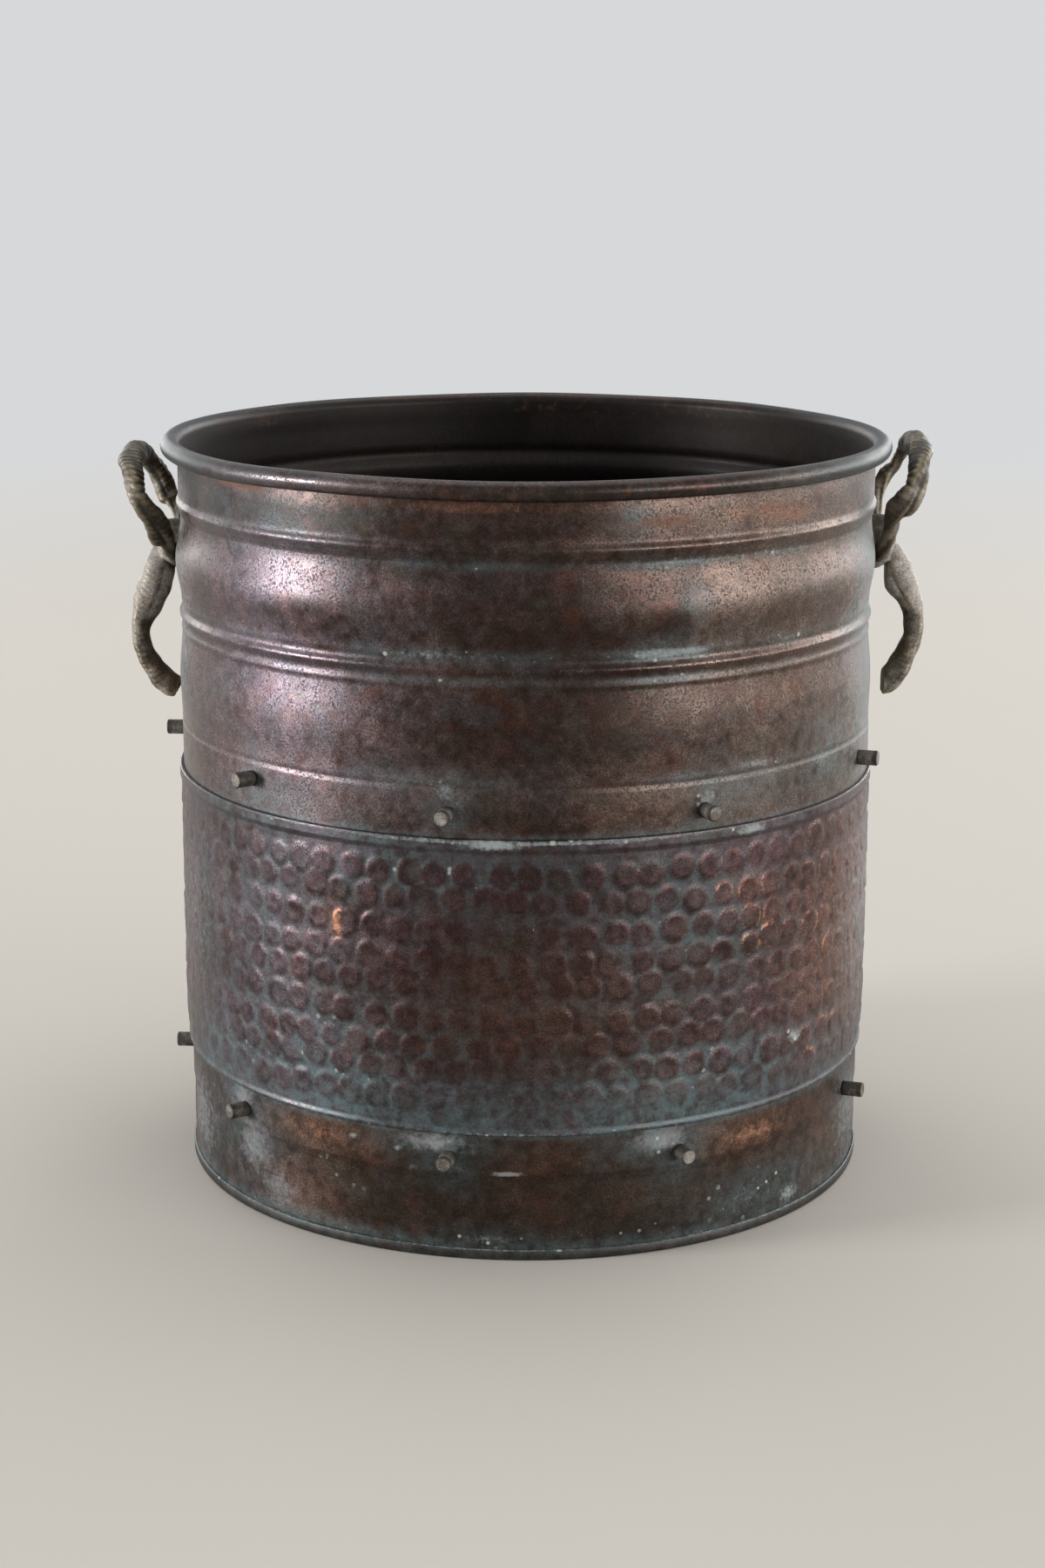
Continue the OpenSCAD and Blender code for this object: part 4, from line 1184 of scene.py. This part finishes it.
def paint_relief(mesh, reach=6):
    """Paints "ridge" where a mesh stands proud of its own softened shape, and painted shade where it sinks
    below it, both close by and over a wider stretch. Returns the close height in millimetres."""
    points = coordinates(mesh)
    edges = np.zeros(len(mesh.edges) * 2, np.int32)
    mesh.edges.foreach_get("vertices", edges)
    edges = edges.reshape(-1, 2)
    count = np.maximum(np.bincount(edges.ravel(), minlength=len(points)), 1)[:, None]
    normals = np.zeros(len(points) * 3, np.float32)
    mesh.vertices.foreach_get("normal", normals)
    normals = normals.reshape(-1, 3)
    soft = points.copy()
    heights = []
    for turns in (reach, 4 * reach):
        for _ in range(turns):
            total = np.stack([np.bincount(edges[:, 0], soft[edges[:, 1], i], len(points))
                              + np.bincount(edges[:, 1], soft[edges[:, 0], i], len(points))
                              for i in range(3)], axis=1)
            soft = total / count
        heights.append(np.einsum("ij,ij->i", points - soft, normals) / MM)
    close, wide = heights
    paint(mesh, "ridge", np.clip(close / 0.16, 0, 1))
    # painted shade in the hollows, close by and over a wider stretch
    paint(mesh, "hollow", np.clip(np.maximum(-close / 0.10, -wide / 0.35), 0, 1))
    return close


class BUCKET_OT_add_handles(bpy.types.Operator):
    """Casts the two brass handles and seats them on the belly of the wall"""
    bl_idname = "bucket.add_handles"
    bl_label = "Add handles"

    def execute(self, context):
        brass = aged_brass("Aged brass, sand-cast")
        for side, node in ((-1, "handle_left"), (1, "handle_right")):
            handle = Handle(side)
            mesh = fused(f"{node}_cast", [ring_mesh(handle), tail_mesh(handle), pad_mesh(handle)], 0.45)
            points = coordinates(mesh) / MM
            radius = np.hypot(points[:, 0], points[:, 1])
            wall = upper_wall(points[:, 2]) + 0.15
            push = np.where(radius < wall, wall / radius, 1.0)
            points[:, :2] *= push[:, None]
            points[:, :2] *= side
            mesh.vertices.foreach_set("co", (points * MM).astype(np.float32).ravel())
            mesh.update()
            proud = paint_relief(mesh)
            outer = smooth_step(14, 18, np.abs(points[:, 0]) - NECK_R)
            rubbed = outer * line_at(points[:, 2], BELLY_Z - 16, 8) * np.clip(proud / 0.1 + 0.2, 0, 1)
            paint(mesh, "bare", 0.5 * rubbed)
            facing = np.zeros(len(points) * 3, np.float32)
            mesh.vertices.foreach_get("normal", facing)
            outward = facing.reshape(-1, 3)[:, 0] * side
            dark, pale = (np.max([np.exp(-((points - (x * side, y, z)) ** 2).sum(axis=1) / r ** 2)
                                  for x, y, z, r in spots], axis=0) for spots in (handle.dark, handle.pale))
            # dust lies on the faces turned away from the wall, which also paints those faces lighter than the
            # ones in the handle's own shade
            crown = 1 - 0.95 * smooth_step(274, 286, points[:, 2])
            paint(mesh, "dust", 0.5 * crown * smooth_step(-0.3, 0.6, outward) + 0.9 * pale)
            # painted shadow where the dark spots meet faces turned to the wall; the crown's top is darkened as
            # well
            sheltered = dark * (1 - smooth_step(0.2, 0.7, outward))
            paint(mesh, "soiled", np.maximum(sheltered, 0.5 * (1 - crown)))
            piece = put_in_scene(f"{node}_cast", mesh)
            finish_piece(piece, brass, "aged_brass", node)
        return {"FINISHED"}


# ---------------------------------------------------------------- studs and hidden fixings

def stud_mesh(name, corners, wall_r, seed):
    """One turned stud: rubbed round end, post, tenon and peened head, set at its own azimuth."""
    azimuth, z = stud_place(corners)
    rng = np.random.default_rng(seed)
    out = 8.0
    post, tenon, peen = 3.0, 2.0, 3.5
    seat = math.sqrt((wall_r - SHEET) ** 2 - peen ** 2) - GAP
    profile = [(0.02, wall_r + out - 0.12), (1.2, wall_r + out - 0.1), (2.1, wall_r + out - 0.02),
               (2.5, wall_r + out), (2.78, wall_r + out - 0.1), (2.93, wall_r + out - 0.3),
               (post, wall_r + out - 0.6), (post - 0.05, wall_r + 5.5), (post, wall_r + 3),
               (post, wall_r + 0.6),
               (post, wall_r + GAP), (tenon, wall_r + GAP), (tenon, seat), (peen, seat), (peen, seat - 0.3),
               (3.1, seat - 0.8), (2.2, seat - 1.2), (1.0, seat - 1.38), (0.02, seat - 1.4)]
    angle = np.linspace(0, TAU, 36, endpoint=False)
    lobes = 1 + 0.012 * np.cos(3 * angle + rng.uniform(0, TAU))
    r = np.array([p[0] for p in profile])[:, None] * lobes[None, :]
    along = np.array([p[1] for p in profile])[:, None] + 0 * angle
    lean = rng.normal(0, 0.012, 2)
    side = r * np.cos(angle) + (along - wall_r) * lean[0] * (along > wall_r)
    up = r * np.sin(angle) + (along - wall_r) * lean[1] * (along > wall_r)
    a = math.radians(azimuth)
    x = along * math.sin(a) + side * math.cos(a)
    y = -along * math.cos(a) + side * math.sin(a)
    return grid_mesh(name, np.stack([x, y, z + up], axis=-1), close_rows=False, cap_ends=True)


class BUCKET_OT_add_studs(bpy.types.Operator):
    """Sets both rows of studs"""
    bl_idname = "bucket.add_studs"
    bl_label = "Add studs"

    def execute(self, context):
        brass = aged_brass("Aged brass, turned")
        rows = (("upper", UPPER_STUDS, NECK_R), ("lower", LOWER_STUDS, LOWER_R))
        for row, boxes, wall_r in rows:
            for i, corners in enumerate(boxes):
                name = f"{row}_stud_{i + 1}"
                mesh = stud_mesh(f"{name}_turned", corners, wall_r, 100 + i)
                paint_relief(mesh, 1)
                paint(mesh, "bare", np.zeros(len(mesh.vertices)))
                paint(mesh, "dust", np.full(len(mesh.vertices), 0.5))
                paint(mesh, "soiled", np.zeros(len(mesh.vertices)))
                piece = put_in_scene(f"{name}_turned", mesh)
                finish_piece(piece, brass, "aged_brass", name)
        return {"FINISHED"}


class BUCKET_OT_dress_fixings(bpy.types.Operator):
    """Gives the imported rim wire, screws and washers their rusted iron"""
    bl_idname = "bucket.dress_fixings"
    bl_label = "Dress fixings"

    def execute(self, context):
        iron = rusted_iron("Iron, rusted")
        for name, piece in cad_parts.items():
            if name == "rim_wire" or "_screw_" in name or "_washer_" in name:
                piece.data.materials.clear()
                piece.data.materials.append(iron)
        return {"FINISHED"}


# ---------------------------------------------------------------- stage

FLOOR_HALF = 6.0
AMBIENT = 0.36
# name, azimuth, distance, height, width and height of the lamp, and watts
LAMPS = (
    ("left_window", -75, 3.0, 0.46, 0.85, 0.85, 118),
    ("right_window", 53, 3.2, 0.52, 2.6, 0.9, 92),
    ("overhead", 180, 0.4, 2.2, 2.0, 2.0, 24),
    ("back_left", -142, 3.2, 0.75, 2.8, 1.3, 46),
    ("back_right", 136, 3.2, 0.75, 3.0, 1.3, 72),
    ("right_side", 98, 3.2, 0.7, 1.8, 1.2, 32),
)


def pale_ground(name, colour, backdrop):
    """Plain painted board: matt, pale, and fading into the backdrop far from the bucket."""
    material, tree, shader = new_material(name)
    connect(tree, shader, {"Base Color": colour, "Roughness": 0.9, "Specular IOR Level": 0.2})
    place = add_node(tree, "NewGeometry", out="Position")
    far = add_node(tree, "VectorMath", [place], out="Value", operation="LENGTH")
    fade = add_node(tree, "MapRange", [far, 0.9, 2.6, 0.0, 1.0], **SOFT)
    glow = add_node(tree, "Emission", {"Color": backdrop, "Strength": 1.0})
    both = add_node(tree, "MixShader", [fade, shader.outputs[0], glow])
    output = next(n for n in tree.nodes if n.type == "OUTPUT_MATERIAL")
    tree.links.new(both, output.inputs["Surface"])
    return material


def soft_light(name, azimuth, distance, height, width, tall, watts, aim_z=0.16):
    """A rectangular soft light at an azimuth from the front, aimed at the bucket."""
    data = bpy.data.lights.new(name, "AREA")
    data.shape = "RECTANGLE"
    data.size, data.size_y, data.energy = width, tall, watts
    lamp = bpy.data.objects.new(name, data)
    bpy.context.scene.collection.objects.link(lamp)
    a = math.radians(azimuth)
    lamp.location = (distance * math.sin(a), -distance * math.cos(a), height)
    lamp.rotation_euler = (Vector((0, 0, aim_z)) - lamp.location).to_track_quat("-Z", "Y").to_euler()
    lamp.visible_camera = False
    return lamp


def studio_world(backdrop, ambient):
    """Pale all round for the camera and for reflections, and a plain level of light for the rest."""
    world = bpy.data.worlds.new("Studio")
    world.use_nodes = True
    tree = world.node_tree
    tree.nodes.clear()
    rays = add_node(tree, "LightPath").node.outputs
    mirrored = add_node(tree, "Math", [rays["Is Glossy Ray"], rays["Is Transmission Ray"]], **GREATER)
    seen = add_node(tree, "Math", [rays["Is Camera Ray"], mirrored], **GREATER)
    light = add_node(tree, "Background", {"Color": (1, 1, 1, 1), "Strength": ambient})
    pale = add_node(tree, "Background", {"Color": backdrop, "Strength": 1.0})
    both = add_node(tree, "MixShader", [seen, light, pale])
    add_node(tree, "OutputWorld", {"Surface": both})
    bpy.context.scene.world = world


class BUCKET_OT_add_stage(bpy.types.Operator):
    """Lays the floor and sets the lights and the camera"""
    bl_idname = "bucket.add_stage"
    bl_label = "Add stage"

    def execute(self, context):
        stage = context.scene.bucket_stage
        corners = [(x * FLOOR_HALF, y * FLOOR_HALF, 0) for x, y in ((-1, -1), (1, -1), (1, 1), (-1, 1))]
        mesh = bpy.data.meshes.new("floor")
        mesh.from_pydata(corners, [], [(0, 1, 2, 3)])
        floor = put_in_scene("floor", mesh)
        mesh.materials.append(pale_ground("Painted board", tuple(stage.floor), tuple(stage.backdrop)))
        studio_world(tuple(stage.backdrop), AMBIENT)
        for lamp in LAMPS:
            soft_light(*lamp)

        data = bpy.data.cameras.new("camera")
        data.sensor_fit = "AUTO"
        data.sensor_width = 36
        data.lens = 67.66
        camera = bpy.data.objects.new("camera", data)
        camera.location = (0, -1.18, 0.442)
        camera.rotation_euler = (math.radians(90 - 13.81), math.radians(-0.15), math.radians(0.09))
        context.scene.collection.objects.link(camera)
        context.scene.camera = camera
        context.scene.view_settings.view_transform = "Standard"
        return {"FINISHED"}


# ---------------------------------------------------------------- sidebar and start

class BUCKET_PT_panel(bpy.types.Panel):
    """Lists the bucket's pieces and their settings"""
    bl_idname = "BUCKET_PT_panel"
    bl_label = "Copper bucket"
    bl_space_type = "VIEW_3D"
    bl_region_type = "UI"
    bl_category = "Bucket"

    def draw(self, context):
        for group in ("bucket_wall", "bucket_band", "bucket_patina", "bucket_stage"):
            box = self.layout.box()
            settings = getattr(context.scene, group)
            for name in settings.__annotations__:
                box.prop(settings, name)
        for operator in OPERATORS:
            self.layout.operator(operator.bl_idname)


SETTINGS = {
    "bucket_wall": BucketWallSettings,
    "bucket_band": BucketBandSettings,
    "bucket_patina": BucketPatinaSettings,
    "bucket_stage": BucketStageSettings,
}
OPERATORS = (BUCKET_OT_add_stage, BUCKET_OT_add_upper_shell, BUCKET_OT_add_hammered_band,
             BUCKET_OT_add_lower_shell, BUCKET_OT_add_base_plate, BUCKET_OT_add_handles,
             BUCKET_OT_add_studs, BUCKET_OT_dress_fixings)


def register():
    for group in SETTINGS.values():
        bpy.utils.register_class(group)
    for name, group in SETTINGS.items():
        setattr(bpy.types.Scene, name, bpy.props.PointerProperty(type=group))
    for operator in OPERATORS:
        bpy.utils.register_class(operator)
    bpy.utils.register_class(BUCKET_PT_panel)


def unregister():
    bpy.utils.unregister_class(BUCKET_PT_panel)
    for operator in reversed(OPERATORS):
        bpy.utils.unregister_class(operator)
    for name in SETTINGS:
        delattr(bpy.types.Scene, name)
    for group in SETTINGS.values():
        bpy.utils.unregister_class(group)


def main():
    """Builds every piece and the stage."""
    register()
    bpy.ops.bucket.add_stage()
    bpy.ops.bucket.add_upper_shell()
    bpy.ops.bucket.add_hammered_band()
    bpy.ops.bucket.add_lower_shell()
    bpy.ops.bucket.add_base_plate()
    bpy.ops.bucket.add_handles()
    bpy.ops.bucket.add_studs()
    bpy.ops.bucket.dress_fixings()


if __name__ == "__main__":
    main()
